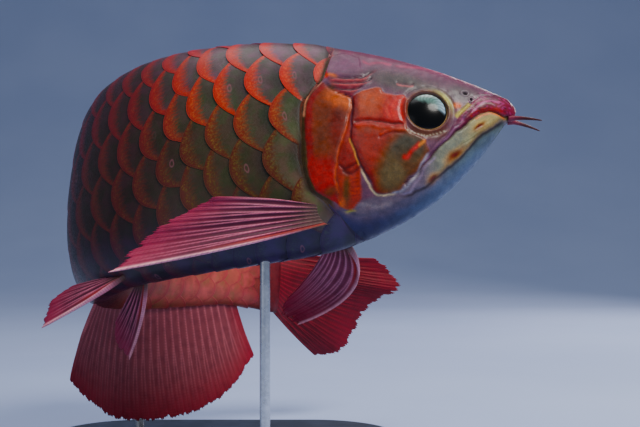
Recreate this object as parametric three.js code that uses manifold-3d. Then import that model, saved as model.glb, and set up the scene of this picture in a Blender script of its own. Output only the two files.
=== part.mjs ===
// An Asian arowana in a tight turn to its left, life size, held by a plain display stand.
// Millimetres, +Z up. The origin is the centre of the underside of the stand's base.
//
// The fish is first drawn along its spine: s is the distance from the snout along the spine,
// out is the distance to the fish's right, and up is the height above the spine.
// The spine bends only sideways, and the whole fish is then banked and set on the stand.

import * as THREE from 'three';
import { mergeVertices } from 'three/addons/utils/BufferGeometryUtils.js';
import Module from 'manifold-3d';

const wasm = await Module();
wasm.setup();

// Driving dimensions of the fish

const STALK_END = 474;      // snout to the end of the tail stalk
const FIN_END = 568;        // snout to the end of the tail fin
const SPINE_STEP = 1;
const GAP = 0.3;            // left between touching pieces
const BANK = 20;            // degrees that the back leans away from the turn's near side
const PITCH = 1.5;          // degrees that the snout dips
const SAG = 25.9;           // how far the tail fin's end drops below the head's level
const SAG_POWER = 2.5;

// heading of the spine in degrees at distances from the snout
const HEADING = [
  [0, 6], [65, 6], [131, 8], [192, 22], [248, 48], [305, 91], [361, 132], [418, 143], [474, 150],
  [FIN_END, 178],
];

// cross sections at distances from the snout: top, bottom, half width
const SECTIONS = [
  [0, 31, 25, 2.5], [5, 35, 21, 7], [13, 39, 10, 11.5], [26, 45, -7, 15.5], [48, 54, -28.5, 20.5],
  [71, 61.5, -43, 23.8], [93, 67, -52.5, 26], [122, 72.5, -59, 27.5], [162, 75.5, -64, 27.3],
  [210, 76.5, -66.5, 26.8], [258, 75, -66, 25.4], [302, 70.5, -60.5, 23], [349, 60.5, -49, 19.3],
  [397, 46.5, -34, 14.6], [435, 35, -23, 10.3], [STALK_END, 28, -20, 5.6],
];
const BACK_SQUARENESS = 2.8;
const BELLY_SQUARENESS = 2.1;

// rear edge of the gill covers, by elevation round the body in degrees
const GILL_EDGE = [
  [-90, 86], [-60, 96], [-40, 107], [-30, 117], [-10, 121.5], [6, 121.6], [25, 110], [60, 106], [90, 108],
];

// how far the gill covers stand proud, and where: distances from the snout, then elevations
const GILL_FLARE = { lift: 1.3, from: 78, to: 104, middle: -4, full: 24, none: 44 };
const GILL_CENTRE = 112;
const GILL_OVERLAP = 3;     // how far the trunk starts under the gill covers, before it is cut back
const PARTING = 0.9;        // from a scale's edge to the next length of the trunk

// where the trunk is parted
const TRUNK_ENDS = { front: 190, middle: 278, rear: 368 };

const AROUND = 30;          // corners round the head

// Scales overlap like tiles. They lie in rows along the body and in chains round it: a chain has
// every second row, and the next chain has the rows between.
const SCALE = {
  rows: 6,                  // on each side, from the back's midline to the belly's
  corners: 3,               // corners round the body for each row
  depth: 2.6,               // how far a scale's sides run forward from its tip, in chain spacings
  lift: 0.9,                // of the edge off the scale behind it
  least: 0.12,              // share of the lift that is left where a scale's edge is hidden
  step: 0.35,               // how far behind its edge a scale's step ends
  apart: 1.3,               // the least distance between the edges of two chains
  first: 1.8,               // the least distance from the gill covers to the first edges
};
const CHAIN_SPACING = [
  [97, 9.75], [136, 9.75], [155, 9], [172, 7.2], [186, 6.5], [212, 6.9], [245, 7.8], [350, 7.6], [STALK_END, 6],
];
const FIRST_CHAIN = 97;
const LAST_CHAIN = 458;     // the stalk's end is smooth skin
const SLANT = [[0, 8], [1, 4], [2, 0], [3, -5], [4, -12.5], [5, -19], [6, -24]];  // of a chain, by row
const SLANT_SHARE = [[200, 1], [300, 0.5], [STALK_END, 0.3]];                     // by distance from the snout

// how many rows the scales are turned round the body, by distance from the snout
const DRIFT = [[136, -0.3], [155.5, -0.15], [172.5, 0.03], [185.5, 0.3], [198.5, 0.65], [212.5, 0.9], [226, 1]];
const HEAD_ROWS = [0, 0.03, 0.08, 0.15, 0.23, 0.32, 0.42, 0.52, 0.62, 0.72, 0.81, 0.89, 0.95, 1];

// Head

// the line of the mouth, s and up, from the snout to the end of the upper jaw
const MOUTH = [
  [0, 24.5], [8, 22], [15, 23.3], [22, 20.5], [27, 15.5], [35.5, 7.5], [47, -4], [56, -16], [65, -24],
];
const JAW_BACK = [[72, -34], [75, -60], [-10, -60], [-10, 24.5]];

// the outline of a gill cover, down its front edge and then round outside the body
const GILL_COVER = [
  [96, 34], [97.5, 22], [97.5, 5], [94, -11], [83.5, -25], [84, -31], [96, -38], [112, -42],
];
const GILL_COVER_BACK = [[130, -42], [130, 50], [112, 46]];
const GILL_COVER_INSIDE = 17;                 // how far out a gill cover's inner face is
const OUTLINE_STEPS = 18;
const OUTSIDE = 60;                           // further out than any of the skin
const EYE = { s: 51, up: 20.4, about: 6, radius: 11.9, dome: 3.6, skirt: 4.2, sunk: 1.2, steps: 5 };
const ORBIT = { radius: 12.7, tube: 1, sunk: 0.2 };
const ROUND_EYE = 20;
const NOSTRIL = { s: 28.5, up: 33.7, about: 3, radius: 1.5, tube: 0.5, pit: 1.2, around: 8 };

// lips beside the line of the mouth: how far above it, how thick, and the share of that which is sunk
const LIPS = [{ above: 2.1, radius: 1.7, sunk: 0.35 }, { above: -2.2, radius: 1.2, sunk: 0.35 }];
const LIP_POINTS = [3, 8, 15, 22, 28, 36, 44, 52, 59, 64];
const BARBEL = { s: 2, out: 2.4, up: 23, forward: 17, spread: 5, drop: 4, radius: 1.2, tip: 0.35 };

// Stand

const BASE = { width: 250, depth: 230, height: 12, corner: 60, bevel: 2 };
const SNOUT = { x: 182, y: -84.4, z: 201.4 };   // the snout's place over the base
const ROD_RADIUS = 3;
const ROD_INTO_BODY = 14;   // how far a rod reaches past the belly's lowest point, before it is cut back
const FRONT_ROD = { s: 145, out: 0 };
const REAR_ROD = { s: 362, out: 7 };

// Materials

function finish(color, roughness, metalness = 0) {
  return new THREE.MeshStandardMaterial({ color, roughness, metalness });
}

const HEAD_SKIN = finish(0x9a4a30, 0.35);
const JAW_SKIN = finish(0x8d8f86, 0.35);
const GILL_PLATE = finish(0xb4491f, 0.32);
const SCALES = finish(0x9c4a34, 0.35);
const FIN = finish(0x9c2b40, 0.5);
const EYE_GLOSS = finish(0x11151a, 0.08);
const BARBEL_SKIN = finish(0x8c2a3c, 0.45);
const STAND_BASE = finish(0x2a2a2c, 0.4);
const STAND_ROD = finish(0xb9bcc0, 0.3, 0.9);

// Curves

const { clamp, degToRad, euclideanModulo, lerp, radToDeg, smoothstep } = THREE.MathUtils;

// a smooth curve through points, that doesn't overshoot between them
function through(points) {
  const x = points.map((point) => point[0]);
  const y = points.map((point) => point[1]);
  const slope = x.slice(1).map((value, i) => (y[i + 1] - y[i]) / (value - x[i]));
  const tangent = x.map((_, i) => {
    if (i === 0) return slope[0];
    if (i === x.length - 1) return slope[i - 1];
    if (slope[i - 1] * slope[i] <= 0) return 0;
    return 2 / (1 / slope[i - 1] + 1 / slope[i]);
  });
  return (at) => {
    const inside = clamp(at, x[0], x[x.length - 1]);
    let i = 0;
    while (i < x.length - 2 && inside > x[i + 1]) i += 1;
    const width = x[i + 1] - x[i];
    const t = (inside - x[i]) / width;
    const rise = y[i + 1] - y[i];
    const a = tangent[i] * width - rise;
    const b = rise - tangent[i + 1] * width;
    return y[i] + rise * t + t * (1 - t) * (a * (1 - t) + b * t);
  };
}

const headingAt = through(HEADING);
const topAt = through(SECTIONS.map((row) => [row[0], row[1]]));
const bottomAt = through(SECTIONS.map((row) => [row[0], row[2]]));
const halfWidthAt = through(SECTIONS.map((row) => [row[0], row[3]]));
const gillEdgeAt = through(GILL_EDGE);
const chainSpacingAt = through(CHAIN_SPACING);
const slantAt = through(SLANT);
const slantShareAt = through(SLANT_SHARE);
const driftAt = through(DRIFT);
const mouthAt = through(MOUTH);

// Spine

const heading = (s) => degToRad(headingAt(s));
const backward = (s) => new THREE.Vector3(-Math.cos(heading(s)), Math.sin(heading(s)), 0);
const rightward = (s) => new THREE.Vector3(-Math.sin(heading(s)), -Math.cos(heading(s)), 0);

const spine = [new THREE.Vector3()];
for (let s = 0; s < FIN_END; s += SPINE_STEP) {
  spine.push(spine[spine.length - 1].clone().addScaledVector(backward(s + SPINE_STEP / 2), SPINE_STEP));
}

// a point of the fish from s, out and up
function place(s, out, up) {
  const i = clamp(Math.floor(s / SPINE_STEP), 0, spine.length - 2);
  const point = spine[i].clone().lerp(spine[i + 1], s / SPINE_STEP - i);
  point.addScaledVector(rightward(s), out);
  point.z = up - SAG * (Math.max(s, 0) / FIN_END) ** SAG_POWER;
  return point;
}

// a vector at s from its parts towards the tail, the right and the top
function along(s, back, out, up) {
  return backward(s).multiplyScalar(back).addScaledVector(rightward(s), out).setZ(up);
}

// Body surface

const powered = (value, power) => Math.sign(value) * Math.abs(value) ** power;

// out and up of the body's surface at an angle round the section, 0 on the right and 90 at the top
function section(s, angle, grow = 0) {
  const a = degToRad(angle);
  const power = 2 / (Math.sin(a) > 0 ? BACK_SQUARENESS : BELLY_SQUARENESS);
  const middle = (topAt(s) + bottomAt(s)) / 2;
  const half = (topAt(s) - bottomAt(s)) / 2 + grow;
  return {
    out: (halfWidthAt(s) + grow) * powered(Math.cos(a), power),
    up: middle + half * powered(Math.sin(a), power),
  };
}

// how far out the surface is at a height
function outAt(s, up) {
  const middle = (topAt(s) + bottomAt(s)) / 2;
  const share = Math.min(Math.abs(up - middle) / ((topAt(s) - bottomAt(s)) / 2), 1);
  const power = up > middle ? BACK_SQUARENESS : BELLY_SQUARENESS;
  return halfWidthAt(s) * (1 - share ** power) ** (1 / power);
}

const elevation = (angle) => radToDeg(Math.asin(Math.sin(degToRad(angle))));
const gillEdge = (angle) => gillEdgeAt(elevation(angle));

// the gill covers' lift off the body, full at their rear edge and none on the throat and the crown
function flare(s, angle) {
  const { lift, from, to, middle, full, none } = GILL_FLARE;
  const near = smoothstep(s, from, to);
  const off = Math.abs(elevation(angle) - middle);
  return lift * near * (1 - smoothstep(off, full, none));
}

// Closed shapes

function closed(vertices, triangles) {
  let volume = 0;
  const [a, b, c, cross] = [0, 1, 2, 3].map(() => new THREE.Vector3());
  for (const triangle of triangles) {
    [a, b, c].forEach((corner, i) => corner.copy(vertices[triangle[i]]));
    volume += a.dot(cross.crossVectors(b, c));
  }
  const faces = volume < 0 ? triangles.map(([i, j, k]) => [i, k, j]) : triangles;
  const geometry = new THREE.BufferGeometry();
  const position = vertices.flatMap((v) => [v.x, v.y, v.z]);
  geometry.setAttribute('position', new THREE.Float32BufferAttribute(position, 3));
  geometry.setIndex(faces.flat());
  return geometry;
}

// rings of points joined in order, with a fan at each end from the given centres
function loft(rings, firstCentre, lastCentre) {
  const count = rings[0].length;
  const vertices = [...rings.flat(), firstCentre, lastCentre];
  const first = vertices.length - 2;
  const last = first + 1;
  const triangles = [];
  for (let j = 0; j < count; j += 1) {
    const next = (j + 1) % count;
    triangles.push([first, next, j]);
    for (let i = 0; i < rings.length - 1; i += 1) {
      const [a, b] = [i * count + j, i * count + next];
      triangles.push([a, b, b + count], [a, b + count, a + count]);
    }
    const end = (rings.length - 1) * count;
    triangles.push([last, end + j, end + next]);
  }
  return closed(vertices, triangles);
}

function solid(geometry) {
  const plain = new THREE.BufferGeometry();
  plain.setAttribute('position', geometry.getAttribute('position'));
  plain.setIndex(geometry.getIndex());
  const merged = mergeVertices(plain, 1e-4);
  return new wasm.Manifold(new wasm.Mesh({
    numProp: 3,
    vertProperties: new Float32Array(merged.getAttribute('position').array),
    triVerts: new Uint32Array(merged.getIndex().array),
  }));
}

// the largest body of a solid, as a geometry
function shaped(whole) {
  const largest = whole.decompose().reduce((best, one) => (one.volume() > best.volume() ? one : best));
  const mesh = largest.getMesh();
  const geometry = new THREE.BufferGeometry();
  geometry.setAttribute('position', new THREE.BufferAttribute(new Float32Array(mesh.vertProperties), 3));
  geometry.setIndex(new THREE.BufferAttribute(new Uint32Array(mesh.triVerts), 1));
  return geometry;
}

const joined = (solids) => solids.reduce((sum, one) => sum.add(one));
const cut = (whole, cutters) => cutters.reduce((rest, one) => rest.subtract(one), whole);

const ANGLES = Array.from({ length: AROUND }, (_, j) => (360 * j) / AROUND);

// a ring whose distance from the snout may change round it
function bodyRing(sOf, grow, lift = () => 0) {
  return ANGLES.map((angle) => {
    const s = sOf(angle);
    const { out, up } = section(s, angle, grow + lift(s, angle));
    return place(s, out, up);
  });
}

const middleUp = (s) => (topAt(s) + bottomAt(s)) / 2;

function headLoft(grow = 0) {
  const rings = HEAD_ROWS.map((t) => {
    const shift = t === 0 ? -grow : grow * Math.floor(t);
    return bodyRing((angle) => t * gillEdge(angle) + shift, grow, flare);
  });
  return loft(rings, place(-grow, 0, middleUp(0)), place(GILL_CENTRE + grow, 0, middleUp(GILL_CENTRE)));
}

// the angles that part the right half of a section into equal lengths, from the top to the bottom
const GIRTH_SAMPLES = 90;
function evenAngles(s, count) {
  const points = Array.from({ length: GIRTH_SAMPLES + 1 }, (_, i) => {
    const angle = 90 - (180 * i) / GIRTH_SAMPLES;
    return { angle, ...section(s, angle) };
  });
  const run = [0];
  for (let i = 1; i < points.length; i += 1) {
    run.push(run[i - 1] + Math.hypot(points[i].out - points[i - 1].out, points[i].up - points[i - 1].up));
  }
  const total = run[run.length - 1];
  return Array.from({ length: count + 1 }, (_, k) => {
    const wanted = (total * k) / count;
    const i = Math.max(1, run.findIndex((length) => length >= wanted - 1e-9));
    const share = (wanted - run[i - 1]) / (run[i] - run[i - 1]);
    return lerp(points[i - 1].angle, points[i].angle, share);
  });
}

// the same for each whole distance from the snout that is asked for
const GIRTH_STEPS = 48;
const anglesBySection = new Map();
function anglesNear(s) {
  const key = Math.round(s);
  if (!anglesBySection.has(key)) anglesBySection.set(key, evenAngles(key, GIRTH_STEPS));
  return anglesBySection.get(key);
}

// the row at each corner round the body, from the back's midline down the right and up the left
const ROUND_ROWS = Array.from({ length: 2 * SCALE.rows * SCALE.corners }, (_, j) => j / SCALE.corners);

// the side of the body and the angle of its section at a row of scales
function rowPlace(s, row) {
  const round = euclideanModulo((row + driftAt(s)) / SCALE.rows, 2);
  const side = round <= 1 ? 1 : -1;
  const share = GIRTH_STEPS * (side > 0 ? round : 2 - round);
  const i = Math.min(Math.floor(share), GIRTH_STEPS - 1);
  const angles = anglesNear(s);
  return { side, angle: lerp(angles[i], angles[i + 1], share - i) };
}

// a ring of the trunk, from the distance and the lift at each corner
function trunkRing(sOf, liftOf) {
  return ROUND_ROWS.map((row, j) => {
    const s = sOf(j);
    const { side, angle } = rowPlace(s, row);
    const { out, up } = section(s, angle, liftOf(j));
    return place(s, side * out, up);
  });
}

const chains = [];
for (let s = FIRST_CHAIN; s < LAST_CHAIN; s += chainSpacingAt(s)) chains.push(s);

// The edge of each chain's scales, corner by corner: how far it is from the snout, and how high it
// stands off the body. What would lie in front of the chain before is hidden, just behind that one.
const coverEdge = ROUND_ROWS.map((row) => gillEdge(rowPlace(GILL_CENTRE, row).angle));
const edges = [];
chains.forEach((tip, index) => {
  const spacing = chainSpacingAt(tip);
  edges.push(ROUND_ROWS.map((row, j) => {
    const before = index ? edges[index - 1][j].s : coverEdge[j] + SCALE.first - SCALE.apart;
    const slant = slantAt(Math.min(row, 2 * SCALE.rows - row)) * slantShareAt(tip);
    const off = Math.abs(euclideanModulo(row - index + 1, 2) - 1);
    const s = Math.max(tip + slant - SCALE.depth * spacing * off ** 2, before + SCALE.apart);
    const shown = Math.min((s - before) / spacing, 1);
    return { s, lift: SCALE.lift * lerp(SCALE.least, 1, shown) };
  }));
});

// One length of the trunk, from one chain of scales to another. The trunk is parted at the step
// behind a chain's edge. No first chain means the gill covers' edge, and no last one the stalk's end.
function trunkLoft(from, to, grow = 0) {
  const behind = from === null ? -GILL_OVERLAP : PARTING;
  const front = (j) => (from === null ? coverEdge[j] : edges[from][j].s);
  const first = (from === null ? GILL_CENTRE : chains[from]) + behind - grow;
  const last = to === null ? STALK_END - GAP / 2 + grow : chains[to] + grow;
  const rings = [trunkRing((j) => front(j) + behind - grow, () => grow)];
  for (let i = from === null ? 0 : from + 1; i < (to ?? chains.length); i += 1) {
    rings.push(trunkRing((j) => edges[i][j].s, (j) => grow + edges[i][j].lift));
    rings.push(trunkRing((j) => edges[i][j].s + SCALE.step, () => grow));
  }
  if (to === null) {
    rings.push(trunkRing(() => last, () => grow));
  } else {
    rings.push(trunkRing((j) => edges[to][j].s + grow, (j) => grow + edges[to][j].lift));
  }
  return loft(rings, place(first, 0, middleUp(first)), place(last, 0, middleUp(last)));
}

const chainNear = (s) => chains.findIndex((chain) => chain >= s);
const PARTED = [null, ...Object.values(TRUNK_ENDS).map(chainNear), null];
const TRUNK_NAMES = ['trunk_front', 'trunk_middle', 'trunk_rear', 'tail_stalk'];
const LENGTHS = Object.fromEntries(TRUNK_NAMES.map((name, i) => [name, [PARTED[i], PARTED[i + 1]]]));

// what a fin or a rod keeps clear of
const clearOf = { head: solid(headLoft(GAP)) };
for (const [name, [from, to]] of Object.entries(LENGTHS)) clearOf[name] = solid(trunkLoft(from, to, GAP));

// Head pieces

// a slab of the head whose side outline is given by s and up, between two distances out
function slab(outline, from, to) {
  const shape = new THREE.Shape(outline.map(([s, up]) => new THREE.Vector2(s, up)));
  const geometry = new THREE.ExtrudeGeometry(shape, { depth: to - from, bevelEnabled: false });
  const position = geometry.getAttribute('position');
  const vertices = [];
  for (let i = 0; i < position.count; i += 1) {
    vertices.push(place(position.getX(i), from + position.getZ(i), position.getY(i)));
  }
  const merged = new THREE.BufferGeometry().setFromPoints(vertices);
  const indexed = mergeVertices(merged, 1e-4);
  const index = indexed.getIndex().array;
  const points = [];
  const source = indexed.getAttribute('position');
  for (let i = 0; i < source.count; i += 1) points.push(new THREE.Vector3().fromBufferAttribute(source, i));
  const triangles = [];
  for (let i = 0; i < index.length; i += 3) triangles.push([index[i], index[i + 1], index[i + 2]]);
  return solid(closed(points, triangles));
}

// the outline of a gill cover, smooth along its front
const coverOutline = [
  ...new THREE.SplineCurve(GILL_COVER.map(([s, up]) => new THREE.Vector2(s, up))).getPoints(OUTLINE_STEPS)
    .map(({ x, y }) => [x, y]),
  ...GILL_COVER_BACK,
];

const shifted = (outline, by) => outline.map(([s, up]) => [s + by, up + by]);

function widened(outline, by) {
  const centre = [0, 1].map((k) => outline.reduce((sum, point) => sum + point[k], 0) / outline.length);
  return outline.map((point) => point.map((value, k) => value + by * Math.sign(value - centre[k])));
}

// a tube through points, thinning from one radius to another
function tube(points, radius, tip = radius, sides = 6) {
  const path = new THREE.CatmullRomCurve3(points);
  const steps = points.length;
  const frames = path.computeFrenetFrames(steps, false);
  const rings = Array.from({ length: steps + 1 }, (_, i) => {
    const at = path.getPointAt(i / steps);
    const r = lerp(radius, tip, i / steps);
    return Array.from({ length: sides }, (__, j) => {
      const a = (2 * Math.PI * j) / sides;
      return at.clone()
        .addScaledVector(frames.normals[i], r * Math.cos(a))
        .addScaledVector(frames.binormals[i], r * Math.sin(a));
    });
  });
  return loft(rings, path.getPointAt(0), path.getPointAt(1));
}

// a lip: a tube on the skin that runs beside the line of the mouth
function lip(side, { above, radius, sunk }) {
  const points = LIP_POINTS.map((s) => {
    const slope = (mouthAt(s + 1) - mouthAt(s - 1)) / 2;
    const length = Math.hypot(1, slope);
    const at = s - (slope * above) / length;
    const up = mouthAt(s) + above / length;
    return place(at, side * (outAt(at, up) - radius * sunk), up);
  });
  return solid(tube(points, radius));
}

// a frame on the skin, with its y axis square to the skin
function skinFrame(side, { s, up, about }) {
  const at = place(s, side * outAt(s, up), up);
  const ahead = place(s - about, side * outAt(s - about, up), up);
  const above = place(s, side * outAt(s, up + about), up + about);
  const normal = ahead.sub(at).cross(above.sub(at)).normalize();
  if (normal.dot(rightward(s)) * side < 0) normal.negate();
  return new THREE.Matrix4().compose(
    at,
    new THREE.Quaternion().setFromUnitVectors(new THREE.Vector3(0, 1, 0), normal),
    new THREE.Vector3(1, 1, 1),
  );
}

// a dome on a short skirt with a flat back, turned round the y axis
function eyeball(side, grow = 0) {
  const radius = EYE.radius + grow;
  const curve = (EYE.radius ** 2 + EYE.dome ** 2) / (2 * EYE.dome);
  const back = -EYE.skirt - grow;
  const profile = [new THREE.Vector2(0, back), new THREE.Vector2(radius, back)];
  const limit = Math.asin(EYE.radius / curve);
  const centre = EYE.dome - EYE.sunk - curve;
  for (let i = 0; i < EYE.steps; i += 1) {
    const a = limit * (1 - i / EYE.steps);
    profile.push(new THREE.Vector2((curve + grow) * Math.sin(a), (curve + grow) * Math.cos(a) + centre));
  }
  profile.push(new THREE.Vector2(0, curve + grow + centre));
  return new THREE.LatheGeometry(profile, ROUND_EYE).applyMatrix4(skinFrame(side, EYE));
}

// a ring that lies on the skin
function skinRing(side, where, { radius, tube: thickness, sunk = 0 }, sides, around) {
  const ring = new THREE.TorusGeometry(radius, thickness, sides, around).rotateX(Math.PI / 2);
  return solid(ring.translate(0, -sunk, 0).applyMatrix4(skinFrame(side, where)));
}

const orbitRim = (side) => skinRing(side, EYE, ORBIT, 4, ROUND_EYE);
const nostrilRim = (side) => skinRing(side, NOSTRIL, NOSTRIL, 4, NOSTRIL.around);

// the pit inside a nostril's rim
function nostrilPit(side) {
  const { radius, tube: thickness, pit, around } = NOSTRIL;
  const cylinder = new THREE.CylinderGeometry(radius - thickness / 2, radius - thickness, 2 * pit, around);
  return solid(cylinder.applyMatrix4(skinFrame(side, NOSTRIL)));
}

function barbel(side) {
  const points = [-3, 0, 0.25, 0.5, 0.75, 1].map((t) => {
    const forward = t < 0 ? t : t * BARBEL.forward;
    const share = Math.max(t, 0);
    const out = BARBEL.out + BARBEL.spread * share;
    return place(BARBEL.s - forward, side * out, BARBEL.up - BARBEL.drop * share ** 1.5);
  });
  return solid(tube(points, BARBEL.radius, BARBEL.tip));
}

// Fins

const THINNING = 0.7;       // power of the distance from the root by which a fin thins
const ROOT_SHARE = 0.31;    // share of the tail fin's length in which its root blends into it

// A fin is a fan of rays, each a path from root to tip. A ray is a ridge in the fin's own surface,
// and the membrane between two rays is a valley that ends a little short of their tips.
function fan({ rays, steps, root, tip, ridge, notch, rootHalf }) {
  const columns = [];
  rays.forEach((ray, i) => {
    columns.push({ path: ray, crest: true, v: i / (rays.length - 1) });
    if (i < rays.length - 1) {
      const next = rays[i + 1];
      columns.push({
        path: (t) => ray(t * (1 - notch)).lerp(next(t * (1 - notch)), 0.5),
        crest: false,
        v: (i + 0.5) / (rays.length - 1),
      });
    }
  });
  const grid = columns.map(({ path }) => Array.from({ length: steps + 1 }, (_, k) => path(k / steps)));
  const sides = [[], []];
  grid.forEach((column, c) => column.forEach((point, k) => {
    const across = grid[Math.min(c + 1, grid.length - 1)][k].clone().sub(grid[Math.max(c - 1, 0)][k]);
    const down = column[Math.min(k + 1, steps)].clone().sub(column[Math.max(k - 1, 0)]);
    const normal = across.cross(down).normalize();
    const t = k / steps;
    const thin = lerp(root, tip, t ** THINNING) / 2;
    const thick = rootHalf ? rootHalf(columns[c].v) * Math.max(1 - t / ROOT_SHARE, 0) : 0;
    const half = Math.max(thin * (columns[c].crest ? 1 + ridge : 1), thick);
    sides[0].push(point.clone().addScaledVector(normal, half));
    sides[1].push(point.clone().addScaledVector(normal, -half));
  }));
  const row = steps + 1;
  const other = grid.length * row;
  const triangles = [];
  for (let c = 0; c < grid.length - 1; c += 1) {
    for (let k = 0; k < steps; k += 1) {
      const [a, b, d, e] = [c * row + k, (c + 1) * row + k, c * row + k + 1, (c + 1) * row + k + 1];
      triangles.push([a, b, e], [a, e, d]);
      triangles.push([other + a, other + e, other + b], [other + a, other + d, other + e]);
    }
  }
  const rim = [];
  for (let c = 0; c < grid.length - 1; c += 1) rim.push(c * row);
  for (let k = 0; k < steps; k += 1) rim.push((grid.length - 1) * row + k);
  for (let c = grid.length - 1; c > 0; c -= 1) rim.push(c * row + steps);
  for (let k = steps; k > 0; k -= 1) rim.push(k);
  rim.forEach((a, i) => {
    const b = rim[(i + 1) % rim.length];
    triangles.push([a, other + b, b], [a, other + a, other + b]);
  });
  return closed([...sides[0], ...sides[1]], triangles);
}

// a ray from a root, by the tip's distances towards the tail, out and up, bowed on the way
function ray(s, out, up, [back, right, rise], [bowBack, bowRight, bowRise] = [0, 0, 0]) {
  const root = place(s, out, up);
  const reach = along(s, back, right, rise);
  const bow = along(s, bowBack, bowRight, bowRise);
  return (t) => root.clone().addScaledVector(reach, t).addScaledVector(bow, 4 * t * (1 - t));
}

const spread = (count, make) => Array.from({ length: count }, (_, i) => make(i / (count - 1)));

// a curve through three points of space, for u from 0 to 1
function threeWay(first, middle, last) {
  const parts = [0, 1, 2].map((k) => through([[0, first[k]], [0.5, middle[k]], [1, last[k]]]));
  return (u) => parts.map((part) => part(u));
}

function pairedFin({ count, side, roots, tips, bows, sink, ...sizes }) {
  const tipAt = threeWay(...tips);
  const bowAt = threeWay(...bows);
  return fan({
    ...sizes,
    rays: spread(count, (u) => {
      const s = lerp(roots[0][0], roots[1][0], u);
      const up = lerp(roots[0][1], roots[1][1], u);
      const out = side * Math.max(outAt(s, up) - sink, 1);
      return ray(s, out, up, tipAt(u), bowAt(u));
    }),
  });
}

const PECTORAL = {
  roots: [[104, -44], [108, -36]],
  count: 7, sink: 4, steps: 7, root: 3.2, tip: 0.8, ridge: 0.5, notch: 0.04,
};
const PECTORAL_RIGHT = {
  side: 1,
  tips: [[116, 50, -45], [97, 37, -24], [60, 32, -5]],
  bows: [[0, 4, -3], [0, 4, -1], [0, 3, 1]],
};
const PECTORAL_LEFT = {
  side: -1,
  tips: [[39, -95, -29], [44, -75, -30], [28, -42, -30]],
  bows: [[-26, -2, -1], [-14, -2, -1], [-4, 0, 0]],
};
const PELVIC = {
  roots: [[229, -62], [236, -62.5]],
  count: 5, sink: 3, steps: 5, root: 2.4, tip: 0.8, ridge: 0.5, notch: 0.04,
};
const PELVIC_RIGHT = {
  side: 1,
  tips: [[50, 22, -33], [52, 16, -16], [38, 8, -1]],
  bows: [[-3, 2, -2], [0, 2, 0], [0, 1, 0]],
};
const PELVIC_LEFT = {
  side: -1,
  tips: [[27, -17, -45], [34, -14, -34], [29, -8, -20]],
  bows: [[-4, 0, 0], [-2, 0, 0], [0, 0, 0]],
};

const ANAL = {
  from: 297, to: 438, count: 18, sink: 4, steps: 4, root: 3, tip: 0.8, ridge: 0.45, notch: 0.025,
  drop: [[0, 50], [0.2, 67], [0.4, 76], [0.6, 75], [0.8, 64], [1, 34]],
  back: [[0, 15], [0.2, 10], [0.4, 16], [0.6, 23], [0.8, 28], [1, 24]],
  lean: [[0, 14], [0.2, 8], [1, 8]],
};
const DORSAL = {
  from: 342, to: 432, count: 14, sink: 4, steps: 3, root: 2.8, tip: 0.8, ridge: 0.45, notch: 0.03,
  drop: [[0, 26], [0.15, 36], [0.5, 43], [0.8, 38], [1, 26]],
  back: [[0, 14], [0.5, 30], [1, 34]],
  lean: [[0, 4], [1, 6]],
};

const FIN_BOW = [0, 2, 0];  // towards the tail, the right and the top

// a fin on the midline, below the body for a sign of -1 and above it for 1
function midlineFin(sign, { from, to, count, sink, drop, back, lean, ...sizes }) {
  const edge = sign < 0 ? bottomAt : topAt;
  const [dropAt, backAt, leanAt] = [through(drop), through(back), through(lean)];
  return fan({
    ...sizes,
    rays: spread(count, (u) => {
      const s = lerp(from, to, u);
      return ray(s, 0, edge(s) - sign * sink, [backAt(u), leanAt(u), sign * (dropAt(u) + sink)], FIN_BOW);
    }),
  });
}

const TAIL_FIN = {
  count: 15, sink: 2.3, across: 0.985, steps: 5, root: 2.6, tip: 0.8, ridge: 0.45, notch: 0.03,
  back: [[-1, 58], [-0.6, 76], [-0.3, 84], [0, 88], [0.3, 98], [0.55, 106], [0.8, 100], [1, 80]],
  lean: [[-1, 32], [-0.6, 24], [-0.3, 14], [0, 2], [0.3, -10], [0.55, -18], [1, -22]],
  rise: [[-1, -22], [-0.6, -24], [-0.3, -16], [0, -8], [0.3, -3], [0.55, -4], [0.8, -1], [1, 4]],
};

function tailFin() {
  const { back, lean, rise, sink, across, ...sizes } = TAIL_FIN;
  const [backAt, leanAt, riseAt] = [through(back), through(lean), through(rise)];
  const middle = middleUp(STALK_END);
  const half = (topAt(STALK_END) - bottomAt(STALK_END)) / 2;
  const start = STALK_END - sink;
  return fan({
    ...sizes,
    rootHalf: (v) => halfWidthAt(STALK_END) * Math.sqrt(Math.max(1 - (2 * v - 1) ** 2, 0)),
    rays: spread(sizes.count, (u) => {
      const v = 2 * u - 1;
      return ray(start, 0, middle + across * half * v, [backAt(v), leanAt(v), riseAt(v)], FIN_BOW);
    }),
  });
}

// Stand

const fishPlace = new THREE.Matrix4()
  .makeRotationFromEuler(new THREE.Euler(degToRad(-BANK), degToRad(PITCH), 0, 'YXZ'))
  .setPosition(SNOUT.x, SNOUT.y, SNOUT.z);

function standBase() {
  const [x, y, r] = [BASE.width / 2 - BASE.bevel, BASE.depth / 2 - BASE.bevel, BASE.corner];
  const shape = new THREE.Shape();
  shape.absarc(x - r, y - r, r, 0, Math.PI / 2);
  shape.absarc(r - x, y - r, r, Math.PI / 2, Math.PI);
  shape.absarc(r - x, r - y, r, Math.PI, 1.5 * Math.PI);
  shape.absarc(x - r, r - y, r, 1.5 * Math.PI, 2 * Math.PI);
  const plate = new THREE.ExtrudeGeometry(shape, {
    depth: BASE.height - 2 * BASE.bevel,
    bevelSize: BASE.bevel,
    bevelThickness: BASE.bevel,
    bevelSegments: 1,
    curveSegments: 6,
  });
  return shaped(solid(plate.translate(0, 0, BASE.bevel)));
}

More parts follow.
